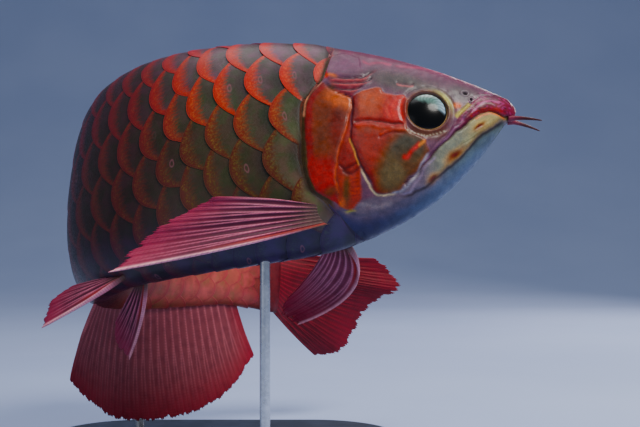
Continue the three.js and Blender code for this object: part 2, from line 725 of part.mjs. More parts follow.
// an upright rod from the base to the skin above it
function rod({ s, out }, above) {
  const foot = place(s, out, bottomAt(s)).applyMatrix4(fishPlace);
  const bottom = BASE.height + GAP;
  const top = foot.z + ROD_INTO_BODY;
  const upright = new THREE.CylinderGeometry(ROD_RADIUS, ROD_RADIUS, top - bottom, 24).rotateX(Math.PI / 2);
  upright.translate(foot.x, foot.y, (top + bottom) / 2);
  return cut(solid(upright), above.map((name) => clearOf[name].transform(fishPlace.elements)));
}

// Assembly

const arowana = new THREE.Group();
const fish = new THREE.Group();
fish.applyMatrix4(fishPlace);
arowana.add(fish);

function add(group, name, geometry, material) {
  const mesh = new THREE.Mesh(geometry, material);
  mesh.name = name;
  group.add(mesh);
}

const SIDES = { right: 1, left: -1 };

const headSolid = joined([
  solid(headLoft()),
  ...Object.values(SIDES).flatMap((side) => [
    ...LIPS.map((shape) => lip(side, shape)),
    orbitRim(side),
    nostrilRim(side),
  ]),
]);
const jawOutline = [...MOUTH, ...JAW_BACK];
const coverSlab = (side, grow) => {
  const near = GILL_COVER_INSIDE - grow;
  return slab(widened(coverOutline, grow), side > 0 ? near : -OUTSIDE, side > 0 ? OUTSIDE : -near);
};
const head = cut(headSolid, [
  slab(shifted(jawOutline, GAP), -OUTSIDE, OUTSIDE),
  ...Object.values(SIDES).flatMap((side) => [
    solid(eyeball(side, GAP)),
    coverSlab(side, GAP),
    nostrilPit(side),
  ]),
]);
add(fish, 'head', shaped(head), HEAD_SKIN);
add(fish, 'lower_jaw', shaped(headSolid.intersect(slab(jawOutline, -OUTSIDE, OUTSIDE))), JAW_SKIN);

for (const [sideName, side] of Object.entries(SIDES)) {
  add(fish, `gill_cover_${sideName}`, shaped(headSolid.intersect(coverSlab(side, 0))), GILL_PLATE);
  add(fish, `eye_${sideName}`, shaped(solid(eyeball(side))), EYE_GLOSS);
  add(fish, `barbel_${sideName}`, shaped(barbel(side).subtract(clearOf.head)), BARBEL_SKIN);
}
for (const [name, [from, to]] of Object.entries(LENGTHS)) {
  const whole = solid(trunkLoft(from, to));
  add(fish, name, shaped(from === null ? whole.subtract(clearOf.head) : whole), SCALES);
}

const trimmed = (fin, names) => shaped(cut(solid(fin), names.map((name) => clearOf[name])));
const shoulder = ['head', 'trunk_front'];
add(fish, 'pectoral_fin_right', trimmed(pairedFin({ ...PECTORAL, ...PECTORAL_RIGHT }), shoulder), FIN);
add(fish, 'pectoral_fin_left', trimmed(pairedFin({ ...PECTORAL, ...PECTORAL_LEFT }), shoulder), FIN);
add(fish, 'pelvic_fin_right', trimmed(pairedFin({ ...PELVIC, ...PELVIC_RIGHT }), ['trunk_middle']), FIN);
add(fish, 'pelvic_fin_left', trimmed(pairedFin({ ...PELVIC, ...PELVIC_LEFT }), ['trunk_middle']), FIN);
add(fish, 'anal_fin', trimmed(midlineFin(-1, ANAL), ['trunk_rear', 'tail_stalk']), FIN);
add(fish, 'dorsal_fin', trimmed(midlineFin(1, DORSAL), ['trunk_rear', 'tail_stalk']), FIN);
add(fish, 'tail_fin', trimmed(tailFin(), ['tail_stalk']), FIN);

add(arowana, 'stand_base', standBase(), STAND_BASE);
add(arowana, 'stand_rod_front', shaped(rod(FRONT_ROD, ['trunk_front'])), STAND_ROD);
add(arowana, 'stand_rod_rear', shaped(rod(REAR_ROD, ['trunk_rear', 'tail_stalk'])), STAND_ROD);

export default arowana;
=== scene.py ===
"""Looks of the Asian arowana display model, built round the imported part.

The fish is drawn along its spine, as the solids are: s is the distance from the snout in
millimetres, out is the distance to the fish's right, and up is the height above the spine.
girth runs round the skin, 0 on the back's midline, 1 on the belly's, and negative on the left.
"""

import math

import bpy
import numpy as np
from mathutils import Matrix, Vector


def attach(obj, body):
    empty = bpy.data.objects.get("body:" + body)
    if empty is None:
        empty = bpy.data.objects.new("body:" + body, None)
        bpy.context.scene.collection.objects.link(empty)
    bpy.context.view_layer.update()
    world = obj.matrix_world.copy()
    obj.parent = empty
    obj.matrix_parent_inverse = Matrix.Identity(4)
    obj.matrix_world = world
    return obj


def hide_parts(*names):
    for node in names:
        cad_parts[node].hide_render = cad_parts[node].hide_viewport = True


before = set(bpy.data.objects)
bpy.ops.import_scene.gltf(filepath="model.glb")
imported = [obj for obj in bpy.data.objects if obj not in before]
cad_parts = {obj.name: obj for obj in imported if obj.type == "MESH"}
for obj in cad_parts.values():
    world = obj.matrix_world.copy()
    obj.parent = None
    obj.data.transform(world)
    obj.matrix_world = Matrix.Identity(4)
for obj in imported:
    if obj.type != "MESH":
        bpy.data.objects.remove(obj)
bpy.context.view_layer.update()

MM = 0.001
SEED = 7
TINY, FAR = 1e-9, 1e9                   # below and above any distance on the fish
MIX_A, MIX_B, MIX_RESULT = 6, 7, 2      # a Mix node's sockets for colours

# Camera: level, at the photo's distance and height
CAMERA_PLACE = (0.068, -0.737, 0.168)
CAMERA_LENS = 63.15

# The fish on its stand
BANK, PITCH = 20, 1.5
SNOUT = (182, -84.4, 201.4)
STALK_END, FIN_END = 474, 568
SAG, SAG_POWER = 25.9, 2.5
HEADING = [
    (0, 6), (65, 6), (131, 8), (192, 22), (248, 48), (305, 91), (361, 132), (418, 143), (474, 150),
    (568, 178),
]

# Cross sections at distances from the snout: top, bottom, half width
SECTIONS = [
    (0, 31, 25, 2.5), (5, 35, 21, 7), (13, 39, 10, 11.5), (26, 45, -7, 15.5), (48, 54, -28.5, 20.5),
    (71, 61.5, -43, 23.8), (93, 67, -52.5, 26), (122, 72.5, -59, 27.5), (162, 75.5, -64, 27.3),
    (210, 76.5, -66.5, 26.8), (258, 75, -66, 25.4), (302, 70.5, -60.5, 23), (349, 60.5, -49, 19.3),
    (397, 46.5, -34, 14.6), (435, 35, -23, 10.3), (474, 28, -20, 5.6),
]
BACK_SQUARENESS, BELLY_SQUARENESS = 2.8, 2.1

# Rear edge of the gill covers, by elevation round the body in degrees, and how far they stand proud
GILL_EDGE = [
    (-90, 86), (-60, 96), (-40, 107), (-30, 117), (-10, 121.5), (6, 121.6), (25, 110), (60, 106), (90, 108),
]
GILL_FLARE = 1.3

# The skin's mesh
SKIN_HEAD_ROWS, SKIN_TRUNK_ROWS, SKIN_COLUMNS = 230, 80, 300
SKIN_END = STALK_END - 0.2
SNOUT_INSET = 0.4       # how far the first ring is drawn in
GILL_STEP = 0.35        # length of the step down behind the gill covers
EDGE_SECTION = 114.0    # s of the section that the head's rear edge is read on

# Scales lie in rows along the body and in chains round it: a chain has every second row, and the
# next chain has the rows between. Sizes in millimetres.
CHAIN_SPACING = [
    (97, 9.75), (136, 9.75), (155, 9), (172, 7.2), (186, 6.5), (212, 6.9), (245, 7.8), (350, 7.6), (474, 6),
]
FIRST_CHAIN, LAST_CHAIN = 97, 466
SCALE_ROWS = 6          # on each side, from the back's midline to the belly's
SCALE_DEPTH = 2.6       # length of a scale in chain spacings
SLANT = [(0, 8), (1, 4), (2, 0), (3, -5), (4, -12.5), (5, -19), (6, -24)]   # of a chain, by row
SLANT_SHARE = [(200, 1), (300, 0.5), (474, 0.3)]
# how many rows the scales are turned round the body, by distance from the snout
DRIFT = [(136, -0.3), (155.5, -0.15), (172.5, 0.03), (185.5, 0.3), (198.5, 0.65), (212.5, 0.9), (226, 1)]
SCALE_LIFT = 1.15       # of a full-sized scale's free edge
SCALE_THICK = 0.3
SCALE_GRID = (21, 13)   # points across and along
COVER_DIP = 1.3         # how far a scale dips under the gill cover's edge
BURIED = 0.3            # a scale that shows less than this behind the edge is left out
MAP_MARGIN = 40         # room before the snout in the scales' map, in millimetres along the body

# Lines of the head, as s and up, the same on both sides
MOUTH = [(0, 24.5), (8, 22), (15, 23.3), (22, 20.5), (27, 15.5), (35.5, 7.5), (47, -4), (56, -16), (65, -24)]
JAW_PLATE_TOP = [
    (3, 34), (9.5, 34.5), (17, 33.8), (21.5, 31.5), (26.5, 26.6), (31.5, 20.8), (38.5, 8.8), (45, 2),
    (50, -4.5), (55.5, -14.5), (60.5, -19), (66, -25.5),
]
JAW_STRIP_BOTTOM = [
    (4, 22), (8, 19.4), (13.5, 14.5), (22, 6.8), (28.5, -1), (35, -7.8), (42, -13.8), (51.5, -22.4), (60, -27),
    (68, -29.5),
]
CHEEK_TOP = [(64, 29.3), (75.5, 30.5), (78, 33.6), (84, 33.6), (93.5, 28)]
CHEEK_REAR = [
    (93.5, 27.8), (93.5, 12.2), (94, 1.5), (90.5, -9.5), (87.5, -16), (83.5, -22.6), (81, -28.2), (78.5, -30),
]
CHEEK_BOTTOM = [(78.5, -30), (72.5, -29), (66, -26.6), (60.5, -22), (55, -13), (50.5, -4)]
CHEEK_FRONT = [(52, 2), (62.5, 9), (62.5, 27)]
CHEEK_GREEN = [
    (80.5, -17.5), (79, -26), (74, -30), (66, -27), (52, -9), (52, 2), (64, 7.5), (72.5, 0.5), (77, -7),
]
CREASE_UPPER = [(93.5, 11.2), (83.5, 12.8), (76.5, 12.3), (69, 11.2), (63.5, 11)]
CREASE_LOWER = [(93, 8.6), (85, 9.6), (78, 8.8), (70, 9.2)]
CREASE_LOWEST = [(78, 3.6), (72.5, 7), (62.5, 7.8)]
CREASE_FAINT = [(79, 1.6), (72.5, 5.2), (63, 6)]
BROW_GROOVE = [(69.5, 38.6), (64, 37.8), (58.5, 37.4)]
JAW_GROOVE = [(25, 23), (33, 13.6), (42, 3.6), (52, -8.6)]
COVER_FRONT = [
    (111, 37), (106, 32.8), (99, 28.8), (94.5, 27), (94.3, 20), (96.5, 11.2), (99.5, 0), (101.2, -7),
    (102.5, -18.8), (101, -29.8), (100.5, -36.5),
]
COVER_REAR = [
    (111, 37), (116.5, 30.8), (119.6, 22.8), (119.9, 12.5), (119.2, -0.8), (118, -13.5), (114.6, -25.8),
    (109.5, -31), (103, -34),
]
CROSS_FOLDS = [[(101.4, -13.8), (97, -16.4), (90, -12)], [(99.5, -17.4), (94, -18.7), (89, -15.4)]]
NAPE_SCALE = [(107.5, 39), (108.7, 41.5), (112, 49.8), (109.5, 54.5), (104.5, 58.8), (98, 60), (90.5, 56.2)]
NAPE_FOLDS = [
    [(107.5, 39), (102, 40), (94, 40), (87.5, 41.5), (81, 47)],
    [(107, 37), (101, 36.2), (93.5, 36.6), (85.5, 39), (81.5, 42)],
    [(106, 34.4), (99.5, 31.9), (93, 32.7), (87, 35.5)],
    [(104, 30.6), (98.5, 28.8), (93.5, 28)],
]
NAPE_LIT = [[(x + 0.3, y - 1.5) for x, y in line] for line in NAPE_FOLDS]   # the light beside each fold
THROAT_LINE = [
    (103, -36), (93.5, -41.2), (83.5, -41), (69.5, -35.5), (58, -28.5), (42, -16.5), (30, -5), (14, 11),
]
JAW_SPOTS = [((21.2, 13.4), (3.6, 1.2)), ((36, -4.8), (5.6, 1.7)), ((48.2, -18.7), (3.4, 1.2))]
JAW_SPOT_TURN = -43
RED_DASH = [(54.5, 0.4), (57.5, -2), (60.8, -6), (63, -8.4), (66.2, -7.6)]
EYE = {"s": 51, "up": 20.4, "radius": 11.9, "dome": 3.6, "sunk": 1.2, "rim": 3}
NOSTRILS = [(29.3, 33.4, 1.1), (25.8, 29.8, 0.7)]   # s, up and radius

# Outlines of the head's areas, each made of the lines that go round it
JAW_PLATE = (MOUTH, JAW_PLATE_TOP[::-1])
JAW_STRIP = (MOUTH, JAW_STRIP_BOTTOM[::-1])
LIP = ([(2, 24), (14, 25), (24, 19), (34, 12)], [(36, 20), (24, 34), (12, 38), (2, 34)])
CHEEK = (CHEEK_REAR, CHEEK_BOTTOM[1:], CHEEK_FRONT, CHEEK_TOP)


def srgb(red, green, blue):
    """A colour of 0 to 255 in each part, as the linear values that Blender uses."""
    part = np.array([red, green, blue]) / 255
    return np.where(part <= 0.04045, part / 12.92, ((part + 0.055) / 1.055) ** 2.4)


# Curves and masks

def through(points):
    """A smooth curve through points that doesn't overshoot between them, for arrays."""
    x, y = np.array(points, float).T
    slope = np.diff(y) / np.diff(x)
    before, after = slope[:-1], slope[1:]
    turning = before * after <= 0
    inverse = 1 / np.where(turning, 1, before) + 1 / np.where(turning, 1, after)
    middle = np.where(turning, 0, 2 / inverse)
    tangent = np.concatenate([slope[:1], middle, slope[-1:]])

    def curve(at):
        within = np.clip(at, x[0], x[-1])
        i = np.clip(np.searchsorted(x, within) - 1, 0, len(x) - 2)
        width, rise = x[i + 1] - x[i], y[i + 1] - y[i]
        t = (within - x[i]) / width
        bend = (tangent[i] * width - rise) * (1 - t) + (rise - tangent[i + 1] * width) * t
        return y[i] + rise * t + t * (1 - t) * bend

    return curve


def bell(value, centre, width):
    """1 where the value is at the centre, falling softly to 0 on both sides."""
    return np.exp(-(((value - centre) / width) ** 2))


def smooth(value, low, high):
    t = np.clip((value - low) / (high - low), 0, 1)
    return t * t * (3 - 2 * t)


def rounded(points, steps=12):
    """A line through points made smooth, by Catmull-Rom pieces."""
    p = np.array(points, float)
    p = np.vstack([2 * p[0] - p[1], p, 2 * p[-1] - p[-2]])
    t = np.linspace(0, 1, steps, endpoint=False)[:, None]
    pieces = []
    for a, b, c, d in zip(p[:-3], p[1:-2], p[2:-1], p[3:]):
        square, cube = a - 2.5 * b + 2 * c - d / 2, 1.5 * (b - c) + (d - a) / 2
        pieces.append(b + t * (c - a) / 2 + t**2 * square + t**3 * cube)
    return np.vstack([*pieces, p[-2:-1]])


def segment_distance(s, up, start, step):
    """Distance from a straight piece, and how far along it the nearest point is, 0 to 1."""
    length = max(np.hypot(*step), TINY)
    t = np.clip(((s - start[0]) * step[0] + (up - start[1]) * step[1]) / length**2, 0, 1)
    return np.hypot(s - start[0] - t * step[0], up - start[1] - t * step[1]), t


def line_distance(s, up, points):
    """Distance from a line, and how far along it the nearest point is, 0 to 1."""
    line = rounded(points)
    steps = np.diff(line, axis=0)
    runs = np.concatenate([[0], np.cumsum(np.hypot(*steps.T))])
    best, share = np.full(s.shape, FAR), np.zeros(s.shape)
    for start, step, run, end in zip(line, steps, runs, runs[1:]):
        away, t = segment_distance(s, up, start, step)
        share = np.where(away < best, run + t * (end - run), share)
        best = np.minimum(away, best)
    return best, share / runs[-1]


def inside(s, up, *lines):
    """Signed distance into the area that the lines go round, positive inside."""
    edge = np.vstack([rounded(line) for line in lines])
    best, odd = np.full(s.shape, FAR), np.zeros(s.shape, bool)
    for start, end in zip(edge, np.roll(edge, -1, axis=0)):
        step = end - start
        best = np.minimum(best, segment_distance(s, up, start, step)[0])
        rise = step[1] if abs(step[1]) > TINY else TINY
        odd ^= ((start[1] > up) != (end[1] > up)) & (s < start[0] + (up - start[1]) / rise * step[0])
    return np.where(odd, best, -best)


def stroke(s, up, points, width, fade=0.08):
    """1 on a drawn line of that half width, thinning to its ends."""
    away, share = line_distance(s, up, points)
    ends = np.minimum(smooth(share, 0, fade), smooth(1 - share, 0, fade)) if fade else 1
    return bell(away, 0, width) * ends


def spot(s, up, centre, radii, turn=0):
    """1 in the middle of an oval spot, falling softly to 0."""
    a = math.radians(turn)
    ds, du = s - centre[0], up - centre[1]
    x, y = ds * math.cos(a) + du * math.sin(a), du * math.cos(a) - ds * math.sin(a)
    return np.exp(-(((x / radii[0]) ** 2 + (y / radii[1]) ** 2) ** 1.5))


def mixed(base, colour, mask):
    return base + (colour - base) * np.asarray(mask)[..., None]


class Paint:
    """Colours laid one over another on the points at s and up. Colours to lay are 0 to 255."""

    def __init__(self, s, up, ground):
        self.s, self.up, self.shade = s, up, ground

    def blend(self, shade, mask):
        self.shade = mixed(self.shade, shade, mask)

    def lay(self, colour, mask):
        self.blend(srgb(*colour), mask)

    def line(self, colour, strength, *shape):
        """shape is the line's points, its half width and its fade."""
        self.lay(colour, strength * stroke(self.s, self.up, *shape))

    def dab(self, colour, strength, *shape):
        """shape is the spot's centre, its radii and its turn."""
        self.lay(colour, strength * spot(self.s, self.up, *shape))


# The fish's frame

heading_at = through(HEADING)
top_at = through([row[:2] for row in SECTIONS])
bottom_at = through([(row[0], row[2]) for row in SECTIONS])
half_width_at = through([(row[0], row[3]) for row in SECTIONS])
gill_edge_at = through(GILL_EDGE)
chain_spacing_at = through(CHAIN_SPACING)
slant_at = through(SLANT)
slant_share_at = through(SLANT_SHARE)
drift_at = through(DRIFT)

TURN = Matrix.Rotation(math.radians(PITCH), 3, "Y") @ Matrix.Rotation(math.radians(-BANK), 3, "X")
TURN = np.array(TURN)
SPINE_S = np.arange(FIN_END + 33)
steps = np.radians(heading_at(SPINE_S[:-1] + 0.5))
SPINE = np.vstack([[0, 0], np.cumsum(np.stack([-np.cos(steps), np.sin(steps)], 1), axis=0)])


def place(s, out, up):
    """Points in the row frame, in metres, from s, out and up in millimetres."""
    s, out, up = np.broadcast_arrays(np.asarray(s, float), out, up)
    angle = np.radians(heading_at(s))
    ahead = np.minimum(s, 0)
    x = np.interp(s, SPINE_S, SPINE[:, 0]) - ahead * np.cos(angle) - out * np.sin(angle)
    y = np.interp(s, SPINE_S, SPINE[:, 1]) + ahead * np.sin(angle) - out * np.cos(angle)
    z = up - SAG * (np.maximum(s, 0) / FIN_END) ** SAG_POWER
    return (np.stack([x, y, z], -1) @ TURN.T + SNOUT) * MM


def along(s, back, out, up):
    """Vectors in the row frame, in metres, from their parts towards the tail, the right and the top."""
    angle = np.radians(heading_at(s))
    x = -np.cos(angle) * back - np.sin(angle) * out
    y = np.sin(angle) * back - np.cos(angle) * out
    return np.stack(np.broadcast_arrays(x, y, up), -1) @ TURN.T * MM


def powered(value, power):
    return np.sign(value) * np.abs(value) ** power


def section(s, angle, grow=0):
    """out and up of the right half of the body's surface, at an angle from -90 below to 90 above."""
    a = np.radians(angle)
    power = 2 / np.where(np.sin(a) > 0, BACK_SQUARENESS, BELLY_SQUARENESS)
    middle = (top_at(s) + bottom_at(s)) / 2
    half = (top_at(s) - bottom_at(s)) / 2 + grow
    return (half_width_at(s) + grow) * powered(np.cos(a), power), middle + half * powered(np.sin(a), power)


def out_at(s, up):
    """How far out the surface is at a height."""
    middle = (top_at(s) + bottom_at(s)) / 2
    share = np.minimum(np.abs(up - middle) / ((top_at(s) - bottom_at(s)) / 2), 1)
    power = np.where(up > middle, BACK_SQUARENESS, BELLY_SQUARENESS)
    return half_width_at(s) * (1 - share**power) ** (1 / power)


GIRTH_STEPS = 160
TABLE_STEP = 2


def girth_table():
    """Angles that part the right half of each section into equal lengths, from the top down."""
    samples = np.linspace(90, -90, 2 * GIRTH_STEPS + 1)
    rows = []
    for s in np.arange(0, STALK_END + TABLE_STEP, TABLE_STEP):
        out, up = section(s, samples)
        run = np.concatenate([[0], np.cumsum(np.hypot(np.diff(out), np.diff(up)))])
        rows.append(np.interp(np.linspace(0, run[-1], GIRTH_STEPS + 1), run, samples))
    return np.array(rows)


ANGLE_TABLE = girth_table()


def angle_at(s, girth):
    """The section's angle at a girth of 0 to 1."""
    row = np.clip(s / TABLE_STEP, 0, len(ANGLE_TABLE) - 1.001)
    column = np.clip(girth * GIRTH_STEPS, 0, GIRTH_STEPS - 0.001)
    i, j = row.astype(int), column.astype(int)
    a, b = row - i, column - j
    upper = ANGLE_TABLE[i, j] * (1 - b) + ANGLE_TABLE[i, j + 1] * b
    lower = ANGLE_TABLE[i + 1, j] * (1 - b) + ANGLE_TABLE[i + 1, j + 1] * b
    return upper * (1 - a) + lower * a


def on_skin(s, girth, lift=0):
    """out and up of the skin at s and a girth from -1 to 1, and the angle there."""
    wrapped = (np.asarray(girth) + 1) % 2 - 1
    angle = angle_at(np.asarray(s, float), np.abs(wrapped))
    out, up = section(s, angle, lift)
    return np.where(wrapped < 0, -out, out), up, angle


# Making meshes

def grid_faces(rows, columns, closed=False):
    """Quads of a grid of points, with its last column joined to its first if closed."""
    i, j = np.meshgrid(np.arange(rows - 1), np.arange(columns if closed else columns - 1), indexing="ij")
    k = (j + 1) % columns
    corners = [i * columns + j, i * columns + k, (i + 1) * columns + k, (i + 1) * columns + j]
    return np.stack(corners, -1).reshape(-1, 4)


def plate_faces(rows, columns):
    """Faces of a closed plate: a grid of points for one side, the same again for the other, and the rim."""
    grid, count = grid_faces(rows, columns), rows * columns
    ring = np.concatenate([
        np.arange(columns), np.arange(1, rows) * columns + columns - 1,
        (rows - 1) * columns + np.arange(columns - 2, -1, -1), np.arange(rows - 2, 0, -1) * columns,
    ])
    after = np.roll(ring, -1)
    return np.vstack([grid, count + grid[:, ::-1], np.stack([ring, ring + count, after + count, after], -1)])


def new_piece(name, points, faces, material, values=None, colours=None, bake=None, crease=None):
    """A smooth mesh on the body. values and colours are named, one row for each point."""
    mesh = bpy.data.meshes.new(name)
    mesh.from_pydata(np.asarray(points).tolist(), [], [list(map(int, face)) for face in faces])
    mesh.polygons.foreach_set("use_smooth", np.ones(len(mesh.polygons), bool))
    for key, row in (values or {}).items():
        data = mesh.attributes.new(key, "FLOAT", "POINT")
        data.data.foreach_set("value", np.asarray(row, np.float32).ravel())
    for key, row in (colours or {}).items():
        data = mesh.attributes.new(key, "FLOAT_COLOR", "POINT")
        filled = np.concatenate([np.asarray(row), np.ones((len(row), 1))], axis=1)
        data.data.foreach_set("color", filled.astype(np.float32).ravel())
    if bake is not None:
        layer = mesh.uv_layers.new(name="OFBake")
        corners = np.empty(len(mesh.loops), np.int64)
        mesh.loops.foreach_get("vertex_index", corners)
        layer.data.foreach_set("uv", np.asarray(bake, np.float32)[corners].ravel())
    mesh.materials.append(material)
    mesh.validate()
    if crease is not None:
        mesh.set_sharp_from_angle(angle=math.radians(crease))
    piece = bpy.data.objects.new(name, mesh)
    bpy.context.scene.collection.objects.link(piece)
    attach(piece, "root")
    return piece


# Materials

class Finish:
    """A node material, with short calls for the nodes that these looks need."""

    def __init__(self, name, roughness, coat=0.0, coat_roughness=0.1, metallic=0.0, specular=0.5):
        self.material = bpy.data.materials.new(name)
        self.material.use_nodes = True
        self.tree = self.material.node_tree
        self.shader = self.tree.nodes["Principled BSDF"]
        self.shader.inputs["Roughness"].default_value = roughness
        self.shader.inputs["Coat Weight"].default_value = coat
        self.shader.inputs["Coat Roughness"].default_value = coat_roughness
        self.shader.inputs["Metallic"].default_value = metallic
        self.shader.inputs["Specular IOR Level"].default_value = specular

    def put(self, socket, value):
        """Links a node's output to a socket, or sets the socket's own value."""
        if isinstance(value, bpy.types.NodeSocket):
            self.tree.links.new(value, socket)
        elif isinstance(value, (int, float)):
            socket.default_value = value
        else:
            socket.default_value = (*value, 1.0)[: len(socket.default_value)]

    def fill(self, node, *values):
        """Puts the values on the node's first sockets and returns its first output."""
        for socket, value in zip(node.inputs, values):
            self.put(socket, value)
        return node.outputs[0]

    def attribute(self, name, output="Fac"):
        node = self.tree.nodes.new("ShaderNodeAttribute")
        node.attribute_name = name
        return node.outputs[output]

    def math(self, operation, a, b=0.0):
        node = self.tree.nodes.new("ShaderNodeMath")
        node.operation = operation
        return self.fill(node, a, b)

    def plus(self, a, b):
        return self.math("ADD", a, b)

    def times(self, a, b):
        return self.math("MULTIPLY", a, b)

    def ramp(self, value, low, high, to_low=0.0, to_high=1.0):
        node = self.tree.nodes.new("ShaderNodeMapRange")
        node.interpolation_type = "SMOOTHSTEP"
        return self.fill(node, value, low, high, to_low, to_high)

    def noise(self, scale, detail):
        node = self.tree.nodes.new("ShaderNodeTexNoise")
        node.inputs["Scale"].default_value = scale
        node.inputs["Detail"].default_value = detail
        self.put(node.inputs["Vector"], self.tree.nodes.new("ShaderNodeTexCoord").outputs["Object"])
        return node.outputs["Fac"]

    def mix(self, factor, a, b, blend="MIX"):
        node = self.tree.nodes.new("ShaderNodeMix")
        node.data_type = "RGBA"
        node.blend_type = blend
        self.put(node.inputs["Factor"], factor)
        self.put(node.inputs[MIX_A], a)
        self.put(node.inputs[MIX_B], b)
        return node.outputs[MIX_RESULT]

    def mottled(self, colour, scale, detail, low, high, share, tint):
        """The colour, with the tint multiplied in where the noise is high."""
        return self.mix(self.ramp(self.noise(scale, detail), low, high, 0.0, share), colour, tint, "MULTIPLY")

    def bump(self, height, strength, distance):
        node = self.tree.nodes.new("ShaderNodeBump")
        node.inputs["Strength"].default_value = strength
        node.inputs["Distance"].default_value = distance
        self.put(node.inputs["Height"], height)
        earlier = self.shader.inputs["Normal"].links
        if earlier:
            self.tree.links.new(earlier[0].from_socket, node.inputs["Normal"])
        self.tree.links.new(node.outputs[0], self.shader.inputs["Normal"])

    def colour(self, value):
        self.put(self.shader.inputs["Base Color"], value)

    def roughness(self, value):
        self.put(self.shader.inputs["Roughness"], value)


# Markings shared by the skin and the scales, with some painted light and shade

INDIGO, PLUM = srgb(46, 34, 66), srgb(84, 40, 56)


def flank_colours(s, girth):
    """The colours of a scale's margin and of its middle, by where the scale is, with painted shade at the
    body's bend.
    """
    g = np.abs((girth + 1) % 2 - 1)
    low = smooth(g, 0.38, 0.56)
    # rear marks the scales at the body's bend; their darker maroon is partly their own colour and partly
    # painted shade where the body turns away from the light
    rear = smooth(s, 165, 225) * (1 - smooth(s, 300, 380))
    tail = smooth(s, 300, 380)
    belly = smooth(g, 0.78, 0.88) * (1 - 0.6 * rear) * (1 - smooth(s, 270, 340))
    margin = Paint(s, g, srgb(176, 14, 34))
    margin.lay((192, 38, 0), smooth(g, 0.06, 0.2))
    margin.lay((168, 48, 4), smooth(g, 0.28, 0.44))
    margin.lay((92, 46, 14), low)
    # maroon margins at the bend: their own colour and painted shade
    margin.lay((98, 12, 30), 0.85 * rear * (1 - 0.3 * low))
    margin.lay((196, 84, 70), tail)
    middle = Paint(s, g, srgb(88, 54, 66))
    middle.lay((78, 60, 60), smooth(g, 0.1, 0.24))
    middle.lay((60, 58, 38), smooth(g, 0.26, 0.4))
    middle.lay((54, 46, 26), low)
    middle.lay((104, 90, 60), 0.7 * low * (1 - smooth(s, 122, 150)))
    # darker middles at the bend: their own colour and painted shade
    middle.lay((42, 18, 24), 0.8 * rear)
    middle.lay((184, 84, 68), tail)
    for paint in (margin, middle):
        paint.blend(INDIGO, belly)
        paint.lay((120, 22, 38), smooth(s, 425, 470))
    return margin.shade, middle.shade


def wandering(s, up):
    """The same place moved a little this way and that, so that no line of the head is ruled."""
    ds = 0.3 * np.sin(0.45 * s + 2.1 * np.sin(0.23 * up)) + 0.1 * np.sin(1.1 * up + 0.7 * s + 1)
    du = 0.3 * np.sin(0.4 * up + 2.3 * np.sin(0.27 * s) + 2) + 0.1 * np.sin(1.2 * s - 0.6 * up)
    return s + ds, up + du


def crown_colour(s, up, angle):
    paint = Paint(s, up, srgb(116, 82, 104))
    paint.lay((116, 56, 86), smooth(angle, 36, 62))
    paint.dab((90, 92, 88), 0.8, (66, 39), (24, 7), 12)
    paint.dab((94, 94, 94), 0.7, (31, 33), (10, 6), 20)
    paint.dab((118, 72, 104), 0.8, (99, 50), (11, 8), 10)
    paint.line((176, 76, 110), 0.7, [(20, 41), (45, 50), (60, 51.2), (71, 51.6)], 1.1)
    paint.line((176, 76, 110), 0.7, [(71, 51.2), (77.5, 53.2), (84.5, 52.2), (90, 54.2)], 1.1)
    # a painted highlight just below the brow groove, and painted shade in the groove
    paint.line((206, 120, 124), 0.9, [(69.5, 37.2), (64, 36.4), (58.5, 36)], 0.5)
    paint.line((86, 36, 56), 0.8, BROW_GROOVE, 0.5)
    paint.lay((138, 60, 74), smooth(inside(s, up, NAPE_FOLDS[0][::-1], NAPE_FOLDS[3]), -1, 1))
    # each nape fold: a painted highlight beside it and painted shade in it
    for line, lit in zip(NAPE_FOLDS, NAPE_LIT):
        paint.line((214, 96, 92), 0.6, lit, 0.38, 0.3)
        paint.line((46, 16, 36), 0.9, line, 0.6, 0.12)
    paint.line((232, 60, 66), 1, NAPE_SCALE[:5], 1, 0.1)
    paint.dab((240, 130, 60), 0.8, (106.5, 41.5), (3.4, 1.2), 10)
    return paint.shade


def throat_colour(s, up):
    paint = Paint(s, up, srgb(114, 102, 118))
    paint.lay((108, 122, 114), 1 - smooth(s, 30, 52))
    # a painted highlight across the throat
    paint.line((150, 140, 150), 0.6, [(70, -33), (80, -36), (92, -35)], 1.2)
    deep = mixed(srgb(48, 46, 92), srgb(108, 126, 158), 1 - smooth(s, 30, 84))
    below = inside(s, up, THROAT_LINE[::-1], [(112, -45), (112, -90), (-10, -90), (-6, 20)])
    paint.blend(deep, smooth(below, -4, 5))
    paint.lay((26, 24, 56), 1 - smooth(up, -60, -42))
    return paint.shade


def cheek_colour(s, up):
    paint = Paint(s, up, srgb(186, 84, 10))
    paint.dab((246, 74, 0), 1, (68.5, 20.5), (9, 10))
    paint.dab((226, 112, 8), 0.8, (83, 25), (8, 7))
    paint.line((180, 24, 20), 0.6, CREASE_UPPER, 2.6)
    paint.lay((176, 66, 10), 1 - smooth(up, 3, 9))
    paint.lay((136, 18, 22), 0.9 * (1 - smooth(line_distance(s, up, CHEEK_REAR)[0], 1.2, 4.5)))
    # fine ridges on the cheek, shown by arcs of painted light and painted shade in turn
    for k in range(7):
        arc = [(63.2 + 1.7 * k, 28), (64.8 + 1.9 * k, 20), (63.2 + 1.7 * k, 12.6)]
        paint.line((244, 112, 30) if k % 2 else (168, 30, 14), 0.42, arc, 0.5, 0.2)
    green = Paint(s, up, srgb(112, 94, 70))
    green.lay((88, 84, 72), smooth(up, -10, 0))
    green.dab((146, 130, 98), 0.75, (70, -18), (8, 5), -36)
    green.dab((124, 76, 52), 0.6, (61, -14), (4, 7), -40)
    paint.blend(green.shade, smooth(inside(s, up, CHEEK_GREEN), -4, 5))
    paint.line((110, 4, 10), 1, CREASE_UPPER, 0.6)
    paint.line((236, 92, 30), 0.75, CREASE_LOWER, 0.6)
    paint.line((232, 96, 24), 0.75, CREASE_LOWEST, 0.7)
    paint.line((126, 20, 14), 0.6, CREASE_FAINT, 0.7)
    return paint.shade


